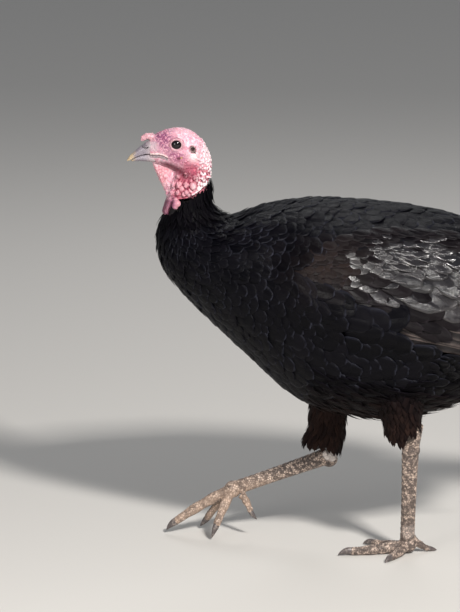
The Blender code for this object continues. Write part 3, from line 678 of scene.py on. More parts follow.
# Rows of wing feathers from the innermost layer out: name, count, root and tip of the lowest feather, root
# and tip of the highest, breadth, height over the surface at the root and the tip, tilt, pointedness.
WING_ROWS = (
    ("primaries", 6, (0.330, 0.352), (0.572, 0.290), (0.345, 0.373), (0.548, 0.325),
     0.021, 0.0030, 0.0030, 0.0013, 0.35),
    ("secondaries", 10, (0.335, 0.376), (0.508, 0.330), (0.392, 0.447), (0.545, 0.400),
     0.036, 0.0050, 0.0050, 0.0013, 0.1),
    ("tertials", 4, (0.374, 0.440), (0.525, 0.398), (0.382, 0.462), (0.540, 0.424),
     0.034, 0.0060, 0.0060, 0.0013, 0.1),
)
# The field of the wing's coverts: its front and upper edge, then its lower and rear edge, as x and z.
COVERTS_START = ((0.229, 0.412), (0.246, 0.451), (0.300, 0.475), (0.370, 0.484), (0.460, 0.479))
COVERTS_END = ((0.402, 0.350), (0.434, 0.357), (0.472, 0.374), (0.508, 0.400), (0.536, 0.436))
# The coverts' rows from the bow back. Rows run to 10 over the field, and turns from its lower edge up.
COVERT_TURNS = (0.02, 0.97)
COVERT_GRID = (12, 9)
COVERT_ZONES = {
    "bow_coverts": Zone(
        (0.0, 2.3), COVERT_TURNS, 0.0090, 0.0120, 2.5, 1.60, 0.10, 0.0034, 0.0009, 0.20,
        COVERT_GRID,
    ),
    "lesser_coverts": Zone(
        (2.0, 3.6), COVERT_TURNS, 0.0110, 0.0140, 2.5, 1.60, 0.05, 0.0034, 0.0009, 0.28,
        COVERT_GRID,
    ),
    "median_coverts": Zone(
        (3.3, 6.6), COVERT_TURNS, 0.0160, 0.0190, 2.4, 1.60, 0.0, 0.0034, 0.0011, 0.34,
        COVERT_GRID,
    ),
    "greater_coverts": Zone(
        (6.3, 9.3), COVERT_TURNS, 0.0250, 0.0240, 2.2, 1.50, 0.0, 0.0034, 0.0011, 0.26,
        COVERT_GRID,
    ),
}
# Points along and across each large wing feather.
WING_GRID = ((22, 11))


def wing_row(
    count, low_root, low_tip, high_root, high_tip, breadth, root_rise, tip_rise, lean, point, rng, wild
):
    """The upper faces of one row of the left wing's feathers, from the highest to the lowest. wild is how far
    the feathers stray from their even places."""
    high, wide = WING_GRID
    reach = tip_steps(high)[None, :, None]
    side = np.linspace(-1, 1, wide)[None, None, :]
    share = np.linspace(0, 1, count)[:, None]
    root = np.array(low_root) * (1 - share) + np.array(high_root) * share
    tip = np.array(low_tip) * (1 - share) + np.array(high_tip) * share
    root = root + rng.uniform(-0.5, 0.5, root.shape) * wild
    tip = tip + rng.uniform(-1, 1, tip.shape) * wild
    run = tip - root
    length = np.linalg.norm(run, axis=1)
    ahead = run / length[:, None]
    down = np.stack((ahead[:, 1], -ahead[:, 0]), axis=1)
    breadths = breadth * rng.uniform(0.92, 1.08, count)
    shape = vane_breadth(tip_steps(high), point)[None, :, None]
    bow = rng.uniform(0.01, 0.05, count)[:, None, None] * length[:, None, None] * np.sin(math.pi * reach)
    off = side * shape * breadths[:, None, None] / 2 - bow
    fray = rng.uniform(-0.018, 0.018, (count, high, wide)) * side**2 * length[:, None, None] * reach
    forth = length[:, None, None] * reach + fray
    x = root[:, 0, None, None] + ahead[:, 0, None, None] * forth + down[:, 0, None, None] * off
    z = root[:, 1, None, None] + ahead[:, 1, None, None] * forth + down[:, 1, None, None] * off
    rise = root_rise + (tip_rise - root_rise) * reach
    tilt = (lean + rng.uniform(-0.0004, 0.0004, count)[:, None, None]) * side * shape
    camber = rng.uniform(0.0006, 0.0016, count)[:, None, None] * (1 - side**2) * shape
    ridge = 0.0003 * np.exp(-((side / 0.10) ** 2))
    curve = rng.uniform(-0.0006, 0.0006, count)[:, None, None] * np.sin(math.pi * reach)
    wave = 0.00025 * np.sin(reach * 11 + share[:, :, None] * 40) * side
    return wing_points(x, z, rise + tilt + camber + ridge + curve + wave), length, breadths


def covert_field(row, turn):
    """Points over the left wing's coverts: row 0 at the bow, 10 at the rear, turn 0 at the lower edge."""
    row, turn = np.broadcast_arrays(np.asarray(row, float), np.asarray(turn, float))
    start = along(COVERTS_START, np.clip(turn, 0, 1) * (len(COVERTS_START) - 1))
    end = along(COVERTS_END, np.clip(turn, 0, 1) * (len(COVERTS_END) - 1))
    place = start + (end - start) * (row / 10)[..., None]
    x, z = place[..., 0], place[..., 1] + 0.010 * np.sin(math.pi * row / 10) * (1 - turn)
    return wing_points(x, z, np.interp(x, *np.array(WING_RISE).T))


def dress_wings(coverts, dull, flight):
    """Both folded wings, the right side a mirror image of the left."""
    rng = np.random.default_rng(21)
    for name, count, *shape in WING_ROWS:
        tops, lengths, breadths = wing_row(count, *shape, rng, 0.0022)
        tone = rng.uniform(0, 1, count)
        finish = coverts if name == "tertials" else flight
        for side, form in (("left", tops), ("right", (tops * (1, -1, 1))[:, :, ::-1])):
            looks = {"tone": tone, "brown": brown_at(form[:, form.shape[1] // 2, form.shape[2] // 2])}
            reach = tip_steps(WING_GRID[0])
            made = build_feathers(f"{name}_{side}", form, reach, lengths, breadths, looks, finish)
            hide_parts("wing_" + side)
    for name, zone in COVERT_ZONES.items():
        for side, hand in (("left", -1), ("right", 1)):

            def field(row, turn, hand=hand):
                return covert_field(row, turn) * (1, -hand, 1)

            for word, finish, keep in (("", coverts, glossy), ("dull_", dull, matte)):
                rng = np.random.default_rng(22)
                made = lay(f"{word}{name}_{side}", field, 10, zone, rng, finish, keep, hand)
                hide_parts("wing_" + side)


# The tail's feathers on each side and the coverts over and under them: count, reach, breadth, height, spread.
TAIL_ROWS = (
    ("rectrices", 9, TAIL_REACH, 0.048, 0.0055, 13.0),
    ("tail_coverts", 6, TAIL_REACH * 0.52, 0.036, 0.0110, 14.0),
    ("upper_coverts", 5, TAIL_REACH * 0.32, 0.030, 0.0140, 15.0),
    ("under_coverts", 5, TAIL_REACH * 0.45, 0.034, -0.0100, 11.0),
)


def dress_tail(finish):
    """The folded tail: its flat stack of long feathers and the coverts at its root."""
    rng = np.random.default_rng(31)
    high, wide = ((26, 9))
    back = np.array((math.cos(TAIL_SLOPE), 0, -math.sin(TAIL_SLOPE)))
    over = np.array((math.sin(TAIL_SLOPE), 0, math.cos(TAIL_SLOPE)))
    root = np.array(at(TAIL_ROOT[0], 0, TAIL_ROOT[1]))
    reach = tip_steps(high)[:, None]
    side = np.linspace(-1, 1, wide)[None, :]
    for name, count, long, breadth, top, spread_degrees in TAIL_ROWS:
        tops, lengths, breadths = [], [], []
        for pair in range(count):
            turn = math.radians(spread_degrees) * (pair + 0.5) / (count - 0.5)
            for hand in (-1, 1):
                length = long * (1 - 0.012 * pair * rng.uniform(0.6, 1.2))
                shape = vane_breadth(reach[:, 0], 0.04)[:, None]
                off = side * shape * breadth / 2
                ahead = 0.002 + length * reach
                aside = hand * (0.0022 * (pair + 0.5) + ahead * math.sin(turn)) + off * math.cos(turn)
                drop = 0.0010 * (2 * pair + (hand > 0)) * (1 if top > 0 else -1)
                roof = -abs(pair + 0.5) ** 1.3 * 0.0006 * reach * (top > 0)
                ridge = 0.0004 * np.exp(-((side / 0.1) ** 2))
                height = top - drop + roof + 0.0012 * (1 - side**2) * shape + ridge
                along_back = ahead * math.cos(turn) - hand * off * math.sin(turn)
                place = root + along_back[..., None] * back + height[..., None] * over
                place[..., 1] += aside
                tops.append(place)
                lengths.append(length)
                breadths.append(breadth)
        tops = np.array(tops)[:, :, ::-1] if top > 0 else np.array(tops)
        looks = {"tone": rng.uniform(0, 0.8, len(tops)), "brown": np.full(len(tops), 0.12)}
        made = build_feathers(name, tops, reach[:, 0], np.array(lengths), np.array(breadths), looks, finish)
        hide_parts("tail")


def activate(piece):
    """Makes a piece the only selected and active one."""
    bpy.ops.object.select_all(action="DESELECT")
    piece.select_set(True)
    bpy.context.view_layer.objects.active = piece


def apply_modifier(piece, kind, **settings):
    """Adds a modifier to a piece and applies it."""
    activate(piece)
    modifier = piece.modifiers.new(kind.title(), kind)
    for key, value in settings.items():
        setattr(modifier, key, value)
    bpy.ops.object.modifier_apply(modifier=modifier.name)


def points_of(data):
    """A mesh's points as an array."""
    points = np.empty(len(data.vertices) * 3)
    data.vertices.foreach_get("co", points)
    return points.reshape(-1, 3)


def normals_of(data):
    """A mesh's point normals as an array."""
    normals = np.empty(len(data.vertices) * 3)
    data.vertex_normals.foreach_get("vector", normals)
    return normals.reshape(-1, 3)


def cavity_of(data, points, normals, passes):
    """How hollow the surface is at each point of a mesh: over zero in creases, below zero on bulges."""
    ends = np.empty(len(data.edges) * 2, np.int32)
    data.edges.foreach_get("vertices", ends)
    ends = ends.reshape(-1, 2)
    near = np.maximum(np.bincount(ends.ravel(), minlength=len(points)), 1)

    def neighbours(values):
        total = np.bincount(ends[:, 0], values[ends[:, 1]], len(points))
        return (total + np.bincount(ends[:, 1], values[ends[:, 0]], len(points))) / near

    middle = np.stack([neighbours(points[:, k]) for k in range(3)], axis=1)
    hollow = ((middle - points) * normals).sum(axis=1)
    for _ in range(passes):
        hollow = 0.5 * hollow + 0.5 * neighbours(hollow)
    return hollow


def move_points(data, points):
    """Gives a mesh's points new places."""
    data.vertices.foreach_set("co", np.ascontiguousarray(points, np.float32).ravel())
    data.update()


def copies_of(name, nodes, grow=0.0004):
    """One object with copies of CAD nodes, each a little swollen so that they run into each other."""
    whole = bmesh.new()
    for node in nodes:
        part = bmesh.new()
        part.from_mesh(NODES[node].data)
        part.transform(NODES[node].matrix_world)
        bmesh.ops.remove_doubles(part, verts=part.verts, dist=1e-5)
        bmesh.ops.recalc_face_normals(part, faces=part.faces)
        part.normal_update()
        for vertex in part.verts:
            vertex.co += vertex.normal * grow
        scrap = bpy.data.meshes.new("scrap")
        part.to_mesh(scrap)
        whole.from_mesh(scrap)
        bpy.data.meshes.remove(scrap)
        part.free()
    data = bpy.data.meshes.new(name)
    whole.to_mesh(data)
    whole.free()
    return place_in_scene(name, data)


def fuse(name, pieces, voxel, passes):
    """Joins closed pieces into one skin with an even mesh, then smooths it."""
    activate(pieces[0])
    for piece in pieces:
        piece.select_set(True)
    bpy.ops.object.join()
    made = bpy.context.view_layer.objects.active
    made.name = name
    apply_modifier(made, "REMESH", mode="VOXEL", voxel_size=voxel)
    if passes:
        apply_modifier(made, "SMOOTH", factor=0.5, iterations=passes)
    return made


def many_balls(name, centres, radii, long=1.0):
    """Small balls joined in one object, all copies of one icosphere."""
    bpy.ops.object.select_all(action="DESELECT")
    bpy.ops.mesh.primitive_ico_sphere_add(subdivisions=2, radius=1.0)
    pattern = bpy.context.object
    unit = points_of(pattern.data)
    faces = np.array([polygon.vertices for polygon in pattern.data.polygons])
    bpy.data.objects.remove(pattern)
    centres, radii = np.asarray(centres, float), np.asarray(radii, float)
    places = centres[:, None] + unit[None] * radii[:, None, None] * np.array((1, 1, long))
    all_faces = (faces[None] + (np.arange(len(centres)) * len(unit))[:, None, None]).reshape(-1, 3)
    return mesh_object(name, places.reshape(-1, 3).tolist(), all_faces.tolist())


def many_cones(name, roots, tips, radius, finish):
    """Thin tapering bristles joined in one object."""
    sides = 5
    points, faces = [], []
    for root, tip in zip(roots, tips):
        root, tip = Vector(root), Vector(tip)
        turn = (tip - root).to_track_quat("Z", "Y")
        first = len(points)
        for share, size in ((0.0, 1.0), (0.55, 0.7)):
            middle = root.lerp(tip, share)
            for k in range(sides):
                angle = 2 * math.pi * k / sides
                points.append(middle + turn @ Vector((math.cos(angle), math.sin(angle), 0)) * radius * size)
        points.append(tip)
        for k in range(sides):
            after = (k + 1) % sides
            faces.append((first + k, first + after, first + sides + after, first + sides + k))
            faces.append((first + sides + k, first + sides + after, first + 2 * sides))
        faces.append(tuple(first + k for k in reversed(range(sides))))
    made = finish_mesh(mesh_object(name, points, faces), finish)
    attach(made, "root")
    return made


def make_body_skin():
    """The skin under the feathers, sunk by the coat's depth, near black as painted shade in the coat's gaps.
    """
    finish, _, shader = material("body_skin", 0.7)
    # Near black: painted shade where the skin shows between the feathers.
    shader.inputs["Base Color"].default_value = (0.010, 0.008, 0.009, 1)
    nodes_used = ["torso", "neck", "thigh_left", "thigh_right"]
    made = fuse("body_skin", [copies_of("body_skin", nodes_used)], 0.006, 4)
    points = points_of(made.data)
    off_hocks = (np.linalg.norm(points - at(*hock), axis=1) for hock in HOCK.values())
    low = np.maximum(*(soft(-off, -0.040, -0.020) for off in off_hocks))
    depth = (COAT_DEPTH + 0.0055 * low)[:, None]
    move_points(made.data, points - normals_of(made.data) * depth + np.outer(low, (0, 0, 0.006)))
    finish_mesh(made, finish)
    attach(made, "root")
    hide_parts(*nodes_used)


# Bare skin's bumps: name, how many, their sizes, how long they are for their width, and the box that they
# grow in as x, z and |y| limits.
BUMPS = (
    ("wattles", 34, (0.0018, 0.0050), 0.8, (0.078, 0.112), (0.519, 0.546), (0.010, 0.040)),
    ("beads", 120, (0.0009, 0.0027), 0.6, (0.080, 0.122), (0.520, 0.562), (0.0, 0.040)),
    ("nape", 190, (0.0012, 0.0023), 0.3, (0.098, 0.124), (0.542, 0.602), (0.0, 0.030)),
    ("jowl", 60, (0.0008, 0.0014), 0.3, (0.074, 0.102), (0.555, 0.574), (0.010, 0.030)),
    ("brow", 40, (0.0007, 0.0012), 0.3, (0.036, 0.058), (0.598, 0.618), (0.0, 0.016)),
    ("dewlap", 50, (0.0007, 0.0013), 1.0, (0.040, 0.072), (0.515, 0.560), (0.0, 0.012)),
)
# The line of the mouth behind the bill, as x and z.
MOUTH = ((0.0370, 0.5795), (0.0467, 0.5800), (0.0530, 0.5785), (0.0590, 0.5750))


def tree_of(made):
    """A search tree of an object's faces."""
    points = [vertex.co for vertex in made.data.vertices]
    return BVHTree.FromPolygons(points, [face.vertices for face in made.data.polygons])


def grow_bumps(tree):
    """Round bumps half sunk in the bare skin."""
    chance = random.Random(5)
    placed, groups = [], []
    for name, count, sizes, long, span_x, span_z, span_y in BUMPS:
        centres, radii, stretch = [], [], long
        for _ in range(count * 40):
            if len(centres) >= 3 * count:
                break
            hand = chance.choice((-1, 1))
            spot = at(chance.uniform(*span_x), hand * chance.uniform(*span_y), chance.uniform(*span_z))
            found, normal = tree.find_nearest(spot)[:2]
            x, z = found.x + LENGTH / 2, found.z
            fits = span_x[0] < x < span_x[1] and span_z[0] < z < span_z[1]
            fits = fits and span_y[0] <= abs(found.y) < span_y[1]
            hidden = z < nape_line(x) - 0.003
            near_ear = math.hypot(x - EAR[0], z - EAR[1]) < 0.0085
            size = sizes[0] + (sizes[1] - sizes[0]) * chance.random() ** 1.6
            crowded = any((found - other).length < 0.74 * (size + reach) for other, reach in placed)
            if fits and not (hidden or near_ear or crowded):
                placed.append((found, size))
                middle = found - normal * size * 0.10
                for drop in steps(-0.5, 0.5, 3):
                    centres.append(middle + Vector((0.25, 0, -1)) * size * drop * stretch)
                    radii.append(size * (1 - 0.3 * abs(drop)))
                if len(placed) % 5 == 0:
                    stretch = chance.uniform(0.1, 1.0)
        groups.append(many_balls(name, centres, radii))
    return groups


def make_pleats(tree):
    """The throat's loose skin, drawn into narrow folds that run down and forwards from under the jaw."""
    chance = random.Random(6)
    centres, radii = [], []
    for side in (-1, 1):
        for k in range(15):
            share = (k + chance.uniform(-0.3, 0.3)) / 14
            top = at(0.0700 + 0.022 * share, side * 0.05, 0.5560 - 0.006 * share)
            low_z = 0.5240 + 0.006 * share + chance.uniform(-0.004, 0.004)
            low = at(0.0585 + 0.026 * share, side * 0.05, low_z)
            size = chance.uniform(0.0008, 0.0014)
            for place in steps(0, 1, 46):
                bend = Vector((0.0012 * math.sin(place * 7 + k * 2.3), 0, 0))
                found = tree.ray_cast(top.lerp(low, place) + bend, Vector((0, -side, 0)))[0]
                if found is not None:
                    centres.append(found)
                    swell = 0.55 + 0.45 * math.sin(math.pi * place)
                    radii.append(size * swell * (1 + 0.2 * math.sin(place * 23 + k)))
    return many_balls("pleats", centres, radii)


# The three balls of each of the lowest bulbs: how far up and how far back of its place, and how big.
LOW_BULB_BALLS = ((0.0058, -0.0005, 0.0040), (0.0006, 0.0008, 0.0060), (-0.0026, -0.0012, 0.0050))


def make_low_bulbs():
    """The bare fold in front of the upper neck, and the two largest bulbs, hanging from the throat by it."""
    neck = copies_of("neck_form", ["neck", "throat"], 0.0)
    tree = tree_of(neck)
    bpy.data.objects.remove(neck)
    centres, radii = [], []
    for side in (-1, 1):
        for lift, shift, size in LOW_BULB_BALLS:
            spot = at(LOW_BULB[0] + shift, side * 0.08, LOW_BULB[1] + lift)
            found = tree.ray_cast(spot, Vector((0, -side, 0)))[0]
            centres.append(found + Vector((0, side * 0.0008, 0)))
            radii.append(size)
    thick = 0.0045
    for z in steps(0.522, 0.498, 14):
        for y in steps(-0.0125, 0.0125, 7):
            found, normal = tree.ray_cast(at(0, y, z), Vector((1, 0, 0)))[:2]
            centres.append(found + normal * (0.0016 - thick))
            radii.append(thick)
    return many_balls("low_bulbs", centres, radii)


def make_lips(tree):
    """The soft edges of the mouth behind the bill, as two low ridges on each cheek."""
    centres, radii = [], []
    for side in (-1, 1):
        for place in steps(0, len(MOUTH) - 1, 60):
            x, z = along(MOUTH, place)
            for shift, size in ((0.0015, 0.0011), (-0.0014, 0.0010)):
                spot = at(x, side * 0.05, z + shift)
                found = tree.ray_cast(spot, Vector((0, -side, 0)))[0]
                if found is not None:
                    centres.append(found)
                    radii.append(size * (1 - 0.4 * place / (len(MOUTH) - 1)))
    return many_balls("lips", centres, radii)


def make_lids():
    """The rings of skin round the eyes, with the crease over each."""
    rings = []
    for side in (-1, 1):
        centre = at(EYE[0], side * (EYE[1] + 0.0066), EYE[2])
        for radius, thick, shift in ((0.0079, 0.00110, 0.0), (0.0102, 0.00060, 0.0012)):
            bpy.ops.object.select_all(action="DESELECT")
            bpy.ops.mesh.primitive_torus_add(
                major_radius=radius, minor_radius=thick, major_segments=40, minor_segments=8
            )
            ring = bpy.context.object
            lean = Matrix.Rotation(side * math.radians(5), 4, "Z") @ Matrix.Rotation(math.radians(90), 4, "X")
            oval = Matrix.Diagonal((1.06, 0.86, 1.0, 1.0))
            place = Matrix.Translation(centre - Vector((0, side * shift, 0)))
            ring.data.transform(place @ lean @ oval)
            rings.append(ring)
    return rings


# The bare neck's core from its foot up: height, front x, back x and half-breadth.
NECK_CORE = (
    (0.518, 0.057, 0.120, 0.0260),
    (0.538, 0.061, 0.116, 0.0205),
    (0.556, 0.066, 0.1175, 0.0180),
    (0.577, 0.072, 0.110, 0.0150),
)


def core_height(points):
    """How far points stand out of the bare neck's plain round core."""
    rows = np.array(NECK_CORE)
    front, back, breadth = (np.interp(points[:, 2], rows[:, 0], rows[:, k]) for k in (1, 2, 3))
    off_x = (points[:, 0] + LENGTH / 2 - (front + back) / 2) / ((back - front) / 2)
    return (np.hypot(off_x, points[:, 1] / breadth) - 1) * (back - front) / 2


def head_colours(points, lift, hollow):
    """Colours of the bare skin: pink, purple on the brow, red throat with painted shade in its folds, pale
    nape.
    """
    x, y, z = points[:, 0] + LENGTH / 2, points[:, 1], points[:, 2]
    fine, coarse, speck = noise(points, 0.0022, 1), noise(points, 0.0060, 2), noise(points, 0.0011, 3)
    colour = np.tile((0.66, 0.32, 0.39), (len(points), 1))

    def tint(share, new):
        share = np.clip(share, 0, 1)[:, None]
        colour[:] = colour * (1 - share) + np.array(new) * share

    outer = np.abs(y) > 0.010
    # The pink skin's own mottle.
    tint(0.35 + 0.45 * coarse, (0.78, 0.48, 0.56))
    tint(soft(fine, 0.05, 0.60) * 0.60, (0.86, 0.66, 0.72))
    tint(soft(-fine, 0.20, 0.70) * 0.55, (0.50, 0.13, 0.24))
    # The purple brow, lores and cheek.
    brow = np.exp(-(((x - 0.050) / 0.016) ** 2 + ((z - 0.607) / 0.012) ** 2))
    lores = np.exp(-(((x - 0.056) / 0.014) ** 2 + ((z - 0.592) / 0.012) ** 2))
    cheek = np.exp(-(((x - 0.072) / 0.014) ** 2 + ((z - 0.578) / 0.008) ** 2))
    tint((brow + lores * 0.8 + cheek * 1.3) * soft(fine + 0.6 * speck, -0.75, 0.40), (0.29, 0.080, 0.165))
    tint((brow + lores * 0.3) * soft(speck + 0.4 * fine, 0.15, 0.65) * 0.8, (0.12, 0.035, 0.11))
    # The red throat behind the jaw, with painted shade under the jaw and painted highlight on its bulbs'
    # tops.
    below = soft(-z, -0.568, -0.554) * soft(x + (0.566 - z) * 0.25, 0.068, 0.082)
    tint(below * (0.85 + 0.15 * coarse), (0.33, 0.022, 0.055))
    tint(np.exp(-(((x - 0.0745) / 0.010) ** 2 + ((z - 0.5725) / 0.006) ** 2)) * 0.55, (0.46, 0.15, 0.23))
    # Painted shade under the jaw.
    under_jaw_shade = soft(-z, -0.580, -0.566) * soft(x, 0.076, 0.086) * soft(-x, -0.108, -0.096)
    tint(under_jaw_shade * (0.80 + 0.20 * fine), (0.36, 0.050, 0.100))
    # Painted highlight: the further the skin stands out, the paler it is.
    tops = soft(np.maximum(lift, core_height(points)), 0.0008, 0.0030)
    tint(below * tops * (0.75 + 0.25 * fine), (0.56, 0.180, 0.235))
    tint(below * soft(np.maximum(lift, core_height(points)), 0.0026, 0.0046) * 0.5, (0.72, 0.42, 0.47))
    # The pink front of the throat, and the painted shadow of the fold under the jaw.
    front = soft(-z, -0.568, -0.558) * soft(-x - (0.566 - z) * 0.45, -0.074, -0.062)
    tint(front * 0.9, (0.66, 0.26, 0.31))
    tint(front * soft(fine, -0.2, 0.6) * 0.7, (0.82, 0.52, 0.56))
    shade_x = 0.055 + (0.5685 - z) * 1.75
    fold_shadow = soft(-z, -0.574, -0.566) * soft(z, 0.540, 0.554) * np.exp(-(((x - shade_x) / 0.012) ** 2))
    tint(fold_shadow * 0.95 * (1 - 0.6 * soft(lift, 0.0008, 0.0020)), (0.115, 0.012, 0.030))
    # The pale nape, red between its bumps, and the pale patch below the ear.
    nape_front = 0.107 + 0.10 * np.maximum(z - 0.560, 0) - 0.55 * np.maximum(0.552 - z, 0)
    nape = soft(x - nape_front, -0.010, 0.006)
    tint(nape * 0.80, (0.80, 0.58, 0.63))
    tint(nape * soft(lift, 0.0002, 0.0012) * 0.9, (0.86, 0.75, 0.76))
    tint(nape * soft(-lift, -0.0004, -0.00005) * soft(-z, -0.575, -0.560) * 0.7, (0.60, 0.12, 0.18))
    ahead_of_nape = soft(x, 0.090, 0.100) * soft(-z, -0.602, -0.585) * (1 - nape)
    tint(ahead_of_nape * soft(fine, -0.1, 0.6) * 0.7, (0.70, 0.12, 0.19))
    tint(np.exp(-(((x - 0.0960) / 0.007) ** 2 + ((z - 0.5795) / 0.008) ** 2)) * 0.8, (0.88, 0.74, 0.75))
    # The eye's rings with painted shade in the lid's crease, the ear's painted shade and two marks on the
    # cheek.
    from_eye = np.hypot((x - EYE[0]) / 1.06, (z - EYE[2]) / 0.86)
    tint(soft(-from_eye, -0.0105, -0.0088) * outer * 0.8, (0.50, 0.28, 0.31))
    # Painted shade in the crease round the lid.
    tint(soft(-np.abs(from_eye - 0.0112), -0.0008, -0.0002) * outer * 0.6, (0.32, 0.13, 0.18))
    tint(soft(-from_eye, -0.0074, -0.0064) * outer, (0.05, 0.03, 0.03))
    # Painted shade in the ear opening.
    ear_shade = np.hypot((x - EAR[0]) / 0.85, z - EAR[1] + 0.35 * (x - EAR[0]))
    tint(soft(-ear_shade, -0.0062, -0.0044) * outer * 0.9, (0.13, 0.085, 0.075))
    spot = np.hypot((x - 0.0736) / 1.5, z - 0.5765)
    tint(soft(-spot, -0.0028, -0.0014) * outer, (0.14, 0.03, 0.06))
    spot = np.hypot(x - 0.0775, z - 0.5775)
    tint(soft(-spot, -0.0022, -0.0010) * outer * 0.7, (0.50, 0.30, 0.10))
    # The lips and the line of the mouth.
    mouth_z = np.interp(x, *np.array(MOUTH).T)
    near = soft(-x, -0.0592, -0.0575)
    tint(near * soft(-np.abs(z - mouth_z - 0.0016), -0.0022, -0.0012) * 0.75, (0.76, 0.60, 0.58))
    tint(near * soft(-np.abs(z - mouth_z + 0.0022), -0.0032, -0.0014) * 0.85, (0.36, 0.305, 0.325))
    tint(near * soft(-np.abs(z - mouth_z), -0.0009, -0.0004), (0.060, 0.035, 0.042))
    # The snood, with painted shadow below it, and the skin beside the bill.
    snood = soft(-x, -0.041, -0.036) * soft(z, 0.5985, 0.6015)
    tint(snood * 0.80, (0.60, 0.325, 0.365))
    below_snood_shadow = np.interp(x, (0.0207, 0.0285, 0.0345, 0.0400), (0.5975, 0.6030, 0.6020, 0.5995)) - z
    tint(snood * soft(below_snood_shadow, 0.0, 0.0030) * 0.85, (0.13, 0.075, 0.085))
    by_bill = soft(-x, -0.047, -0.040) * soft(-z, -0.600, -0.596) * soft(z, 0.583, 0.587)
    tint(by_bill * 0.6, (0.50, 0.42, 0.455))
    # Painted shade in the creases, the purple neck fold and the lowest bulbs, and the pores.
    crease_shade = soft(hollow, 0.000010, 0.000060) * (x > 0.040)
    tint(crease_shade * (0.35 + 0.65 * below), (0.17, 0.012, 0.040))
    neck_front = soft(-z, -0.521, -0.513) * soft(-x, -0.0690, -0.0640)
    tint(neck_front * (0.85 + 0.15 * fine), (0.145, 0.036, 0.075))
    low_bulb = np.exp(-(((x - LOW_BULB[0] + 0.004) / 0.005) ** 2 + ((z - LOW_BULB[1]) / 0.009) ** 2))
    tint(low_bulb * 0.65, (0.34, 0.10, 0.20))
    pores = 0.82 + 0.18 * soft(noise(points, 0.0016, 6), -0.5, 0.6)
    return np.clip(colour * pores[:, None], 0, 1)


def make_head_skin():
    """The bare head and neck in one skin: the CAD forms with finer bumps, lids and folds, then painted."""
    finish, graph, shader = material("head_skin", 0.42, Subsurface_Weight=0.08, Subsurface_Scale=0.003)
    shader.inputs["Subsurface Radius"].default_value = (1.0, 0.35, 0.2)
    paint = graph.nodes.new("ShaderNodeAttribute")
    paint.attribute_name = "paint"
    graph.links.new(paint.outputs["Color"], shader.inputs["Base Color"])
    add_bump(graph, shader, object_noise(graph, 900.0, 4.0), 0.5, 0.0005)
    nodes_used = ["head", "throat", "snood"]
    base = copies_of("head_skin", nodes_used)
    tree = tree_of(base)
    pieces = [base, make_lips(tree), make_pleats(tree), make_low_bulbs()] + grow_bumps(tree) + make_lids()
    made = fuse("head_skin", pieces, 0.00068, 1)
    points, normals = points_of(made.data), normals_of(made.data)
    lift = np.array([tree.find_nearest(point)[3] for point in points.tolist()])
    folds = 0.00030 * noise(points, 0.0030, 8) + 0.00018 * noise(points * (1.6, 1.0, 0.8), 0.0014, 9)
    below = nape_line(points[:, 0] + LENGTH / 2) - points[:, 2]
    sunk = 0.0070 * soft(below, 0.001, 0.006) * soft(points[:, 0] + LENGTH / 2, 0.076, 0.084)
    move_points(made.data, points + normals * (folds - sunk)[:, None])
    hollow = cavity_of(made.data, points, normals, 2)
    colours = np.ones((len(points), 4), np.float32)
    colours[:, :3] = head_colours(points, lift, hollow)
    layer = made.data.color_attributes.new("paint", "FLOAT_COLOR", "POINT")
    layer.data.foreach_set("color", colours.ravel())
    finish_mesh(made, finish)
    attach(made, "root")
    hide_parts(*nodes_used)
    return made


def make_bristles(skin):
    """Sparse dark bristles on the crown and lores, and the tuft over each ear."""
    finish, _, shader = material("bristle", 0.5)
    shader.inputs["Base Color"].default_value = (0.030, 0.018, 0.020, 1)
    tree = tree_of(skin)
    chance = random.Random(9)
    roots, tips = [], []
    for count, span_x, span_z, span_y, long in (
        (46, (0.042, 0.100), (0.600, 0.622), (0.0, 0.020), 0.0032),
        (22, (0.045, 0.066), (0.580, 0.604), (0.012, 0.024), 0.0022),
        (50, (0.100, 0.122), (0.525, 0.600), (0.0, 0.020), 0.0036),
    ):
        for _ in range(count):
            place_x = chance.uniform(*span_x)
            place_y = chance.choice((-1, 1)) * chance.uniform(*span_y)
            spot = at(place_x, place_y, chance.uniform(*span_z))
            found, normal = tree.find_nearest(spot)[:2]
            if math.hypot(found.x + LENGTH / 2 - EYE[0], found.z - EYE[2]) > 0.0105:
                lean = (normal * 0.45 + Vector((0.8, chance.uniform(-0.3, 0.3), -0.25))).normalized()
                roots.append(found - normal * 0.0004)
                tips.append(found + lean * long * chance.uniform(0.6, 1.2))
    for side in (-1, 1):
        for _ in range(70):
            angle, reach = chance.uniform(0, 2 * math.pi), 0.0050 * math.sqrt(chance.random())
            spot = at(EAR[0] + 0.8 * reach * math.cos(angle), side * 0.020, EAR[1] + reach * math.sin(angle))
            found, normal = tree.find_nearest(spot)[:2]
            lean = (normal * 0.30 + Vector((0.8, 0, -0.5 + chance.uniform(-0.3, 0.3)))).normalized()
            roots.append(found - normal * 0.0004)
            tips.append(found + lean * chance.uniform(0.0030, 0.0048))
    many_cones("bristles", roots, tips, 0.00014, finish)


def make_eyes():
    """The dark, wet eyeballs at the CAD eyes' places."""
    finish, _, shader = material("eye", 0.09, Specular_IOR_Level=0.38)
    shader.inputs["Base Color"].default_value = (0.006, 0.004, 0.005, 1)
    for side, name in ((-1, "eye_left"), (1, "eye_right")):
        bpy.ops.object.select_all(action="DESELECT")
        bpy.ops.mesh.primitive_uv_sphere_add(segments=48, ring_count=32, radius=EYE_RADIUS)
        made = bpy.context.object
        made.name = name + "_ball"
        made.data.transform(Matrix.Translation(at(EYE[0], side * EYE[1], EYE[2])))
        finish_mesh(made, finish)
        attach(made, "root")
        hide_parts(name)


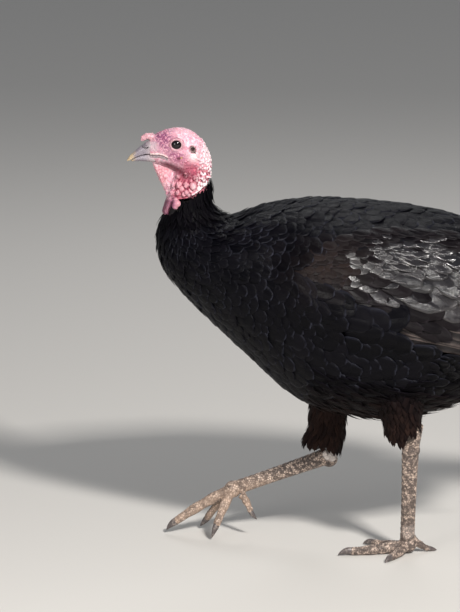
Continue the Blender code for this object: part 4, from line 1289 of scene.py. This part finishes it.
def make_bill():
    """The horny bill: blue-grey at its base, cream at its tip, with the flap over each nostril."""
    finish, graph, shader = material("bill_horn", 0.38, Coat_Weight=0.15)
    place = graph.nodes.new("ShaderNodeTexCoord")
    split = graph.nodes.new("ShaderNodeSeparateXYZ")
    graph.links.new(place.outputs["Object"], split.inputs["Vector"])
    grain = object_noise(graph, 260.0)
    wavy = sums(graph, "ADD", split.outputs["X"], sums(graph, "MULTIPLY", grain, 0.006))
    start = -LENGTH / 2
    tip = spread(graph, wavy, start + 0.009, start + 0.017)
    horn = mix(graph, tip, (0.46, 0.35, 0.22, 1), (0.23, 0.20, 0.235, 1))
    base = spread(graph, wavy, start + 0.026, start + 0.040)
    horn = mix(graph, base, horn, (0.40, 0.325, 0.345, 1))
    dirt = spread(graph, object_noise(graph, 520.0), 0.50, 0.72)
    horn = mix(graph, sums(graph, "MULTIPLY", dirt, 0.45), horn, (0.10, 0.075, 0.075, 1))
    # Painted shade in the slits round the nostrils' flaps, and darker rough skin about them.
    horn = mix(graph, read_attribute(graph, "hollow"), horn, (0.045, 0.035, 0.040, 1))
    graph.links.new(horn, shader.inputs["Base Color"])
    add_bump(graph, shader, object_noise(graph, 700.0), 0.25, 0.0003)
    for name in ("bill_upper", "bill_lower"):
        pieces = [copies_of(name + "_horn", [name], 0.0)]
        if name == "bill_upper":
            flaps = [at(0.0268, side * 0.0076, 0.5915) for side in (-1, 1)]
            pieces.append(many_balls("flaps", flaps, [0.0024, 0.0024], 0.55))
        made = fuse(name + "_horn", pieces, 0.00045, 3)
        points = points_of(made.data)
        x, z = points[:, 0] + LENGTH / 2, points[:, 2]
        ring = np.hypot((x - 0.0265) / 1.7, z - 0.5912)
        # Painted shade in the slit under each flap.
        slit_shade = soft(-np.abs(ring - 0.0024), -0.0009, -0.0003) * soft(-z, -0.5935, -0.5905)
        rough = soft(-ring, -0.0050, -0.0030) * soft(noise(points, 0.0018, 5), 0.0, 0.7) * 0.5
        attribute(made.data, "hollow", np.maximum(slit_shade * 0.9, rough))
        finish_mesh(made, finish)
        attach(made, "root")
        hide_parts(name)


# Toes: reach along the floor, yaw from straight ahead, root radius, claw length.
TOES = {
    "middle": (0.083, 10.0, 0.0088, 0.020),
    "inner": (0.060, -36.0, 0.0077, 0.018),
    "outer": (0.052, 60.0, 0.0074, 0.016),
    "hind": (0.026, 196.0, 0.0058, 0.013),
}
# The toes of the lifted right foot: the claw's root and tip of each, in x, y and z.
RIGHT_TOES = {
    "middle": ((0.0665, 0.0860, 0.0180), (0.0530, 0.0880, 0.0050)),
    "inner": ((0.1260, 0.0540, 0.0200), (0.1195, 0.0480, 0.0040)),
    "outer": ((0.1120, 0.1060, 0.0170), (0.1020, 0.1120, 0.0040)),
    "hind": ((0.1765, 0.0640, 0.0380), (0.1850, 0.0610, 0.0280)),
}


def toe_path(side, toe, count):
    """A toe's line from the foot joint to the claw's root, and the claw's tip."""
    reach, yaw, radius, claw = TOES[toe]
    foot = at(*FOOT[side])
    if side == "left":
        if toe == "hind":
            foot += Vector((0.006, 0, 0.010))
        turn = math.radians(yaw)
        flat = Vector((-math.cos(turn), -math.sin(turn), 0))
        end = foot + flat * reach
        end.z = radius * 0.66
        tip = end + flat * claw * 0.93
        tip.z = 0.0012
        sag = -0.0047
    else:
        if toe == "hind":
            foot += Vector((0.013, -0.004, -0.008))
        end, tip = (at(*point) for point in RIGHT_TOES[toe])
        sag = 0.006
    middle = foot.lerp(end, 0.5) + Vector((0, 0, sag))
    path = [foot * (1 - s) ** 2 + middle * 2 * s * (1 - s) + end * s**2 for s in steps(0.0, 1.0, count)]
    return path, tip


def rings_object(name, rings):
    """A closed tube through rings of points."""
    sides = len(rings[0])
    points = [point for ring in rings for point in ring]
    faces = [tuple(reversed(range(sides))), tuple(range(len(points) - sides, len(points)))]
    for r in range(len(rings) - 1):
        for k in range(sides):
            a, b = r * sides + k, r * sides + (k + 1) % sides
            faces.append((a, b, b + sides, a + sides))
    mesh = bmesh.new()
    made_points = [mesh.verts.new(point) for point in points]
    for face in faces:
        mesh.faces.new([made_points[k] for k in face])
    bmesh.ops.recalc_face_normals(mesh, faces=mesh.faces)
    data = bpy.data.meshes.new(name)
    mesh.to_mesh(data)
    mesh.free()
    return place_in_scene(name, data)


def scaly_tube(name, path, radii, plates, lift, front):
    """A round limb with overlapping plates down one face. front is the direction that the plates face."""
    rings = []
    for k, (middle, (breadth, depth)) in enumerate(zip(path, radii)):
        ahead = (path[min(k + 1, len(path) - 1)] - path[max(k - 1, 0)]).normalized()
        forward = (front - ahead * front.dot(ahead)).normalized()
        across = ahead.cross(forward)
        phase = plates * k / (len(path) - 1) % 1.0
        saw = lift * (1 - phase) * min(phase * 8, 1.0)
        ring = []
        for j in range(28):
            turn = 2 * math.pi * j / 28
            facing = max(math.cos(turn), 0.0) ** 0.6 if math.cos(turn) > 0 else 0.0
            swell = saw * facing
            out = forward * math.cos(turn) * (depth + swell)
            aside = across * math.sin(turn) * (breadth + swell * 0.5)
            point = middle + (out + aside)
            point.z = max(point.z, 0.0)
            ring.append(point)
        rings.append(ring)
    return rings_object(name, rings)


# The pale patch on each leg: its middle, its reach in x, y and z, and its strength.
PALE_PATCHES = {
    "left": ((0.404, -0.027, 0.035), (0.012, 0.020, 0.012), 0.15),
    "right": ((0.2935, 0.066, 0.1240), (0.0115, 0.022, 0.0085), 0.95),
}


def leg_material():
    """Grey-tan mottled scales with painted shade in the creases between them, and the right hock's cream
    patch.
    """
    finish, graph, shader = material("leg_scale", 0.55)
    mottle = spread(graph, object_noise(graph, 170.0, 6.0), 0.42, 0.60)
    colour = mix(graph, mottle, (0.120, 0.092, 0.080, 1), (0.58, 0.450, 0.370, 1))
    dirt = spread(graph, object_noise(graph, 55.0, 4.0), 0.50, 0.72)
    colour = mix(graph, sums(graph, "MULTIPLY", dirt, 0.7), colour, (0.085, 0.064, 0.056, 1))
    place = graph.nodes.new("ShaderNodeTexCoord")
    cells = graph.nodes.new("ShaderNodeTexVoronoi")
    cells.feature = "DISTANCE_TO_EDGE"
    cells.inputs["Scale"].default_value = 260.0
    graph.links.new(place.outputs["Object"], cells.inputs["Vector"])
    # Painted shade in the creases between the scales.
    crease_shade = spread(graph, cells.outputs["Distance"], 0.0, 0.14)
    colour = mix(graph, crease_shade, (0.070, 0.052, 0.047, 1), colour)
    # Paler tan on the right leg's lower shank and toes.
    paler_low = sums(graph, "MULTIPLY", read_attribute(graph, "paler_low"), 0.78)
    colour = mix(graph, paler_low, colour, (0.53, 0.375, 0.280, 1))
    pale = read_attribute(graph, "pale")
    colour = mix(graph, pale, colour, (0.84, 0.75, 0.70, 1))
    graph.links.new(colour, shader.inputs["Base Color"])
    add_bump(graph, shader, crease_shade, 0.9, 0.0009)
    return finish


def make_leg(side, finish):
    """One bare leg with its foot: the shank, its plates, the toes and their pads in one skin."""
    hock, foot = at(*HOCK[side]), at(*FOOT[side])
    count = 90
    path = [hock.lerp(foot, share) for share in steps(0, 1, count)]
    radii = []
    for share in steps(0, 1, count):
        swell = 0.0024 * (1 - share) ** 2 + 0.0008 * share**6
        radii.append((0.0084 + swell, 0.0098 + swell))
    ahead = Vector({"left": (-1, 0, 0), "right": (-0.45, 0, 1)}[side])
    pieces = [scaly_tube("shank", path, radii, 17, 0.0011, ahead)]
    if side == "left":
        above = [hock.lerp(at(0.4090, -0.062, 0.200), share) for share in steps(-0.1, 1, 40)]
        pieces.append(scaly_tube("hock", above, [(0.0112, 0.0122)] * 40, 7, 0.0008, ahead))
    pad = {"left": (0.0135, 0.0130, 0.0118), "right": (0.0125, 0.0125, 0.0125)}[side]
    for centre, size in ((foot, pad), (hock + Vector((0.001, 0, -0.004)), (0.0125, 0.0110, 0.0125))):
        bpy.ops.object.select_all(action="DESELECT")
        bpy.ops.mesh.primitive_uv_sphere_add(segments=24, ring_count=16, radius=1.0)
        ball = bpy.context.object
        ball.data.transform(Matrix.Translation(centre) @ Matrix.Diagonal((*size, 1)))
        pieces.append(ball)
    for toe, (reach, _, radius, _) in TOES.items():
        count = int(reach / 0.0009)
        line = toe_path(side, toe, count)[0]
        sizes = []
        for k in range(count):
            share = k / (count - 1)
            joint = 0.0005 * math.cos(2 * math.pi * share * (3 if toe == "middle" else 2))
            thick = radius * (1.0 - 0.28 * share - 0.22 * share**14) + joint
            sizes.append((thick * 1.02, thick * 0.97))
        pieces.append(scaly_tube("toe", line, sizes, int(reach / 0.0042), 0.0009, Vector((0, 0, 1))))
    made = fuse("leg_" + side, pieces, 0.0008, 1)
    points = points_of(made.data)
    points[:, 2] = np.maximum(points[:, 2], 0.0)
    move_points(made.data, points)
    patch, size, strength = PALE_PATCHES[side]
    far = np.linalg.norm((points - np.array(at(*patch))) / size, axis=1) + 0.25 * noise(points, 0.004, 4)
    attribute(made.data, "pale", soft(-far, -1.15, -0.85) * strength)
    speckle = 0.62 + 0.38 * noise(points, 0.006, 5)
    # Paler tan low on the right leg, a trace on the left, speckled.
    paler_low = soft(-points[:, 2], -0.105, -0.055) if side == "right" else np.full(len(points), 0.06)
    attribute(made.data, "paler_low", paler_low * speckle)
    finish_mesh(made, finish)
    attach(made, "root")
    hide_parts("shank_" + side, *(f"toe_{toe}_{side}" for toe in TOES))


def make_claws(side, finish):
    """The four blunt claws of a foot, tapering and bent down."""
    for toe, (_, _, radius, claw) in TOES.items():
        path, tip = toe_path(side, toe, 30)
        end, thick = path[-1], radius * 0.62
        ahead = (path[-1] - path[-2]).normalized()
        start = end - ahead * 0.0015
        bend = end + ahead * claw * 0.45 + Vector((0, 0, claw * 0.10))
        rings = []
        line = [start * (1 - s) ** 2 + bend * 2 * s * (1 - s) + tip * s**2 for s in steps(0, 1, 18)]
        for k, middle in enumerate(line):
            share = k / 17
            forward = (line[min(k + 1, 17)] - line[max(k - 1, 0)]).normalized()
            across = forward.cross(Vector((0, 0, 1))).normalized()
            up = across.cross(forward)
            breadth = thick * 0.74 * (1 - share**2.2) + 0.0006
            depth = thick * 0.95 * (1 - share**2.0) + 0.0006
            ring = []
            for j in range(14):
                turn = 2 * math.pi * j / 14
                point = middle + across * breadth * math.cos(turn) + up * depth * math.sin(turn)
                point.z = max(point.z, 0.0)
                ring.append(point)
            rings.append(ring)
        made = rings_object(f"horn_{toe}_{side}", rings)
        finish_mesh(made, finish)
        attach(made, "root")
        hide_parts(f"claw_{toe}_{side}")


def claw_material():
    """Dark grey horn, worn paler at places."""
    finish, graph, shader = material("claw", 0.40)
    wear_and_sheen = spread(graph, object_noise(graph, 240.0), 0.45, 0.75)
    horn = mix(graph, wear_and_sheen, (0.085, 0.070, 0.068, 1), (0.28, 0.235, 0.210, 1))
    graph.links.new(horn, shader.inputs["Base Color"])
    return finish


# How far the camera stands from the bird, and the height that its picture covers there, in metres: it is
# 612 px high, at 700 px to the metre.
CAMERA_DISTANCE = 6.0
VIEW_HEIGHT = 612 / 700


def make_camera():
    """The photograph's view: level with the bird's back, from its left side."""
    data = bpy.data.cameras.new("camera")
    data.sensor_fit = "VERTICAL"
    data.sensor_height = 36.0
    data.lens = data.sensor_height * CAMERA_DISTANCE / VIEW_HEIGHT
    camera = place_in_scene("camera", data)
    target = Vector((-0.269, 0.0, 0.359))
    rise = math.radians(12)
    camera.location = target + Vector((0, -math.cos(rise), math.sin(rise))) * CAMERA_DISTANCE
    camera.rotation_euler = (target - camera.location).to_track_quat("-Z", "Y").to_euler()
    bpy.context.scene.camera = camera


def add_light(name, place, aim, size, energy, colour=(1, 1, 1)):
    """A square area light at a place, aimed at a point."""
    data = bpy.data.lights.new(name, "AREA")
    data.size = size
    data.energy = energy
    data.color = colour
    lamp = place_in_scene(name, data)
    lamp.location = place
    lamp.rotation_euler = (Vector(aim) - Vector(place)).to_track_quat("-Z", "Y").to_euler()


def make_studio():
    """A plain pale floor and soft studio light, the key from the right."""
    bpy.ops.object.select_all(action="DESELECT")
    bpy.ops.mesh.primitive_plane_add(size=30.0)
    floor = bpy.context.object
    floor.name = "floor"
    floor.data.transform(Matrix.Translation((0, 0, -0.0004)))
    finish, _, shader = material("floor", 0.8)
    shader.inputs["Base Color"].default_value = (0.62, 0.60, 0.57, 1)
    floor.data.materials.append(finish)
    world = bpy.data.worlds.new("world")
    bpy.context.scene.world = world
    world.use_nodes = True
    world.node_tree.nodes["Background"].inputs["Color"].default_value = (0.86, 0.90, 0.96, 1)
    world.node_tree.nodes["Background"].inputs["Strength"].default_value = 0.26
    add_light("key", (1.0, -2.6, 2.5), (-0.1, 0, 0.35), 0.4, 175, (1.0, 0.97, 0.93))
    add_light("fill", (-1.8, -2.4, 1.0), (-0.1, 0, 0.25), 1.0, 24, (1.0, 0.97, 0.94))
    add_light("rim", (0.2, 2.4, 2.3), (0, 0, 0.4), 1.2, 17, (1, 1, 1))
    bpy.context.scene.view_settings.view_transform = "Standard"


# Each kind of feather: its base and brown colours, the colour of its shaft and its edges' painted sheen, how
# strongly the painted sheen and the shaft show, its roughness, its gloss and how crinkled it is.
FEATHERS = {
    "body_feather": ((0.0018, 0.0017, 0.0031, 1), (0.0105, 0.0064, 0.0055, 1), (0.056, 0.059, 0.084, 1),
                     0.50, 0.03, 0.36, 0.065, 7.0),
    "neck_feather": ((0.0012, 0.0010, 0.0018, 1), (0.026, 0.0150, 0.0120, 1), (0.030, 0.024, 0.042, 1),
                     0.35, 0.03, 0.42, 0.038, 5.0),
    "wing_feather": ((0.0058, 0.0046, 0.0062, 1), (0.0120, 0.0072, 0.0058, 1), (0.070, 0.058, 0.066, 1),
                     0.35, 0.10, 0.22, 1.0, 4.0),
    "dull_feather": ((0.0042, 0.0032, 0.0042, 1), (0.0125, 0.0072, 0.0056, 1), (0.060, 0.050, 0.062, 1),
                     0.40, 0.10, 0.34, 0.12, 7.0),
    "flight_feather": ((0.0075, 0.0058, 0.0066, 1), (0.020, 0.0130, 0.0105, 1), (0.40, 0.315, 0.290, 1),
                       0.85, 0.85, 0.32, 0.40, 6.0),
    "tail_feather": ((0.0036, 0.0030, 0.0038, 1), (0.018, 0.011, 0.0085, 1), (0.036, 0.028, 0.026, 1),
                     0.45, 0.20, 0.38, 0.22, 6.0),
}


def main():
    """Builds the skin, the coat, the horn and the studio."""
    kinds = (feather_material(name, *look) for name, look in FEATHERS.items())
    body, hackle, wing, covert, flight, tail = kinds
    make_body_skin()
    dress_body(body, hackle)
    dress_thighs(hackle)
    dress_wings(wing, covert, flight)
    dress_tail(tail)
    skin = make_head_skin()
    make_bristles(skin)
    make_eyes()
    make_bill()
    scales, horn = leg_material(), claw_material()
    for side in ("left", "right"):
        make_leg(side, scales)
        make_claws(side, horn)
    make_studio()
    make_camera()


main()
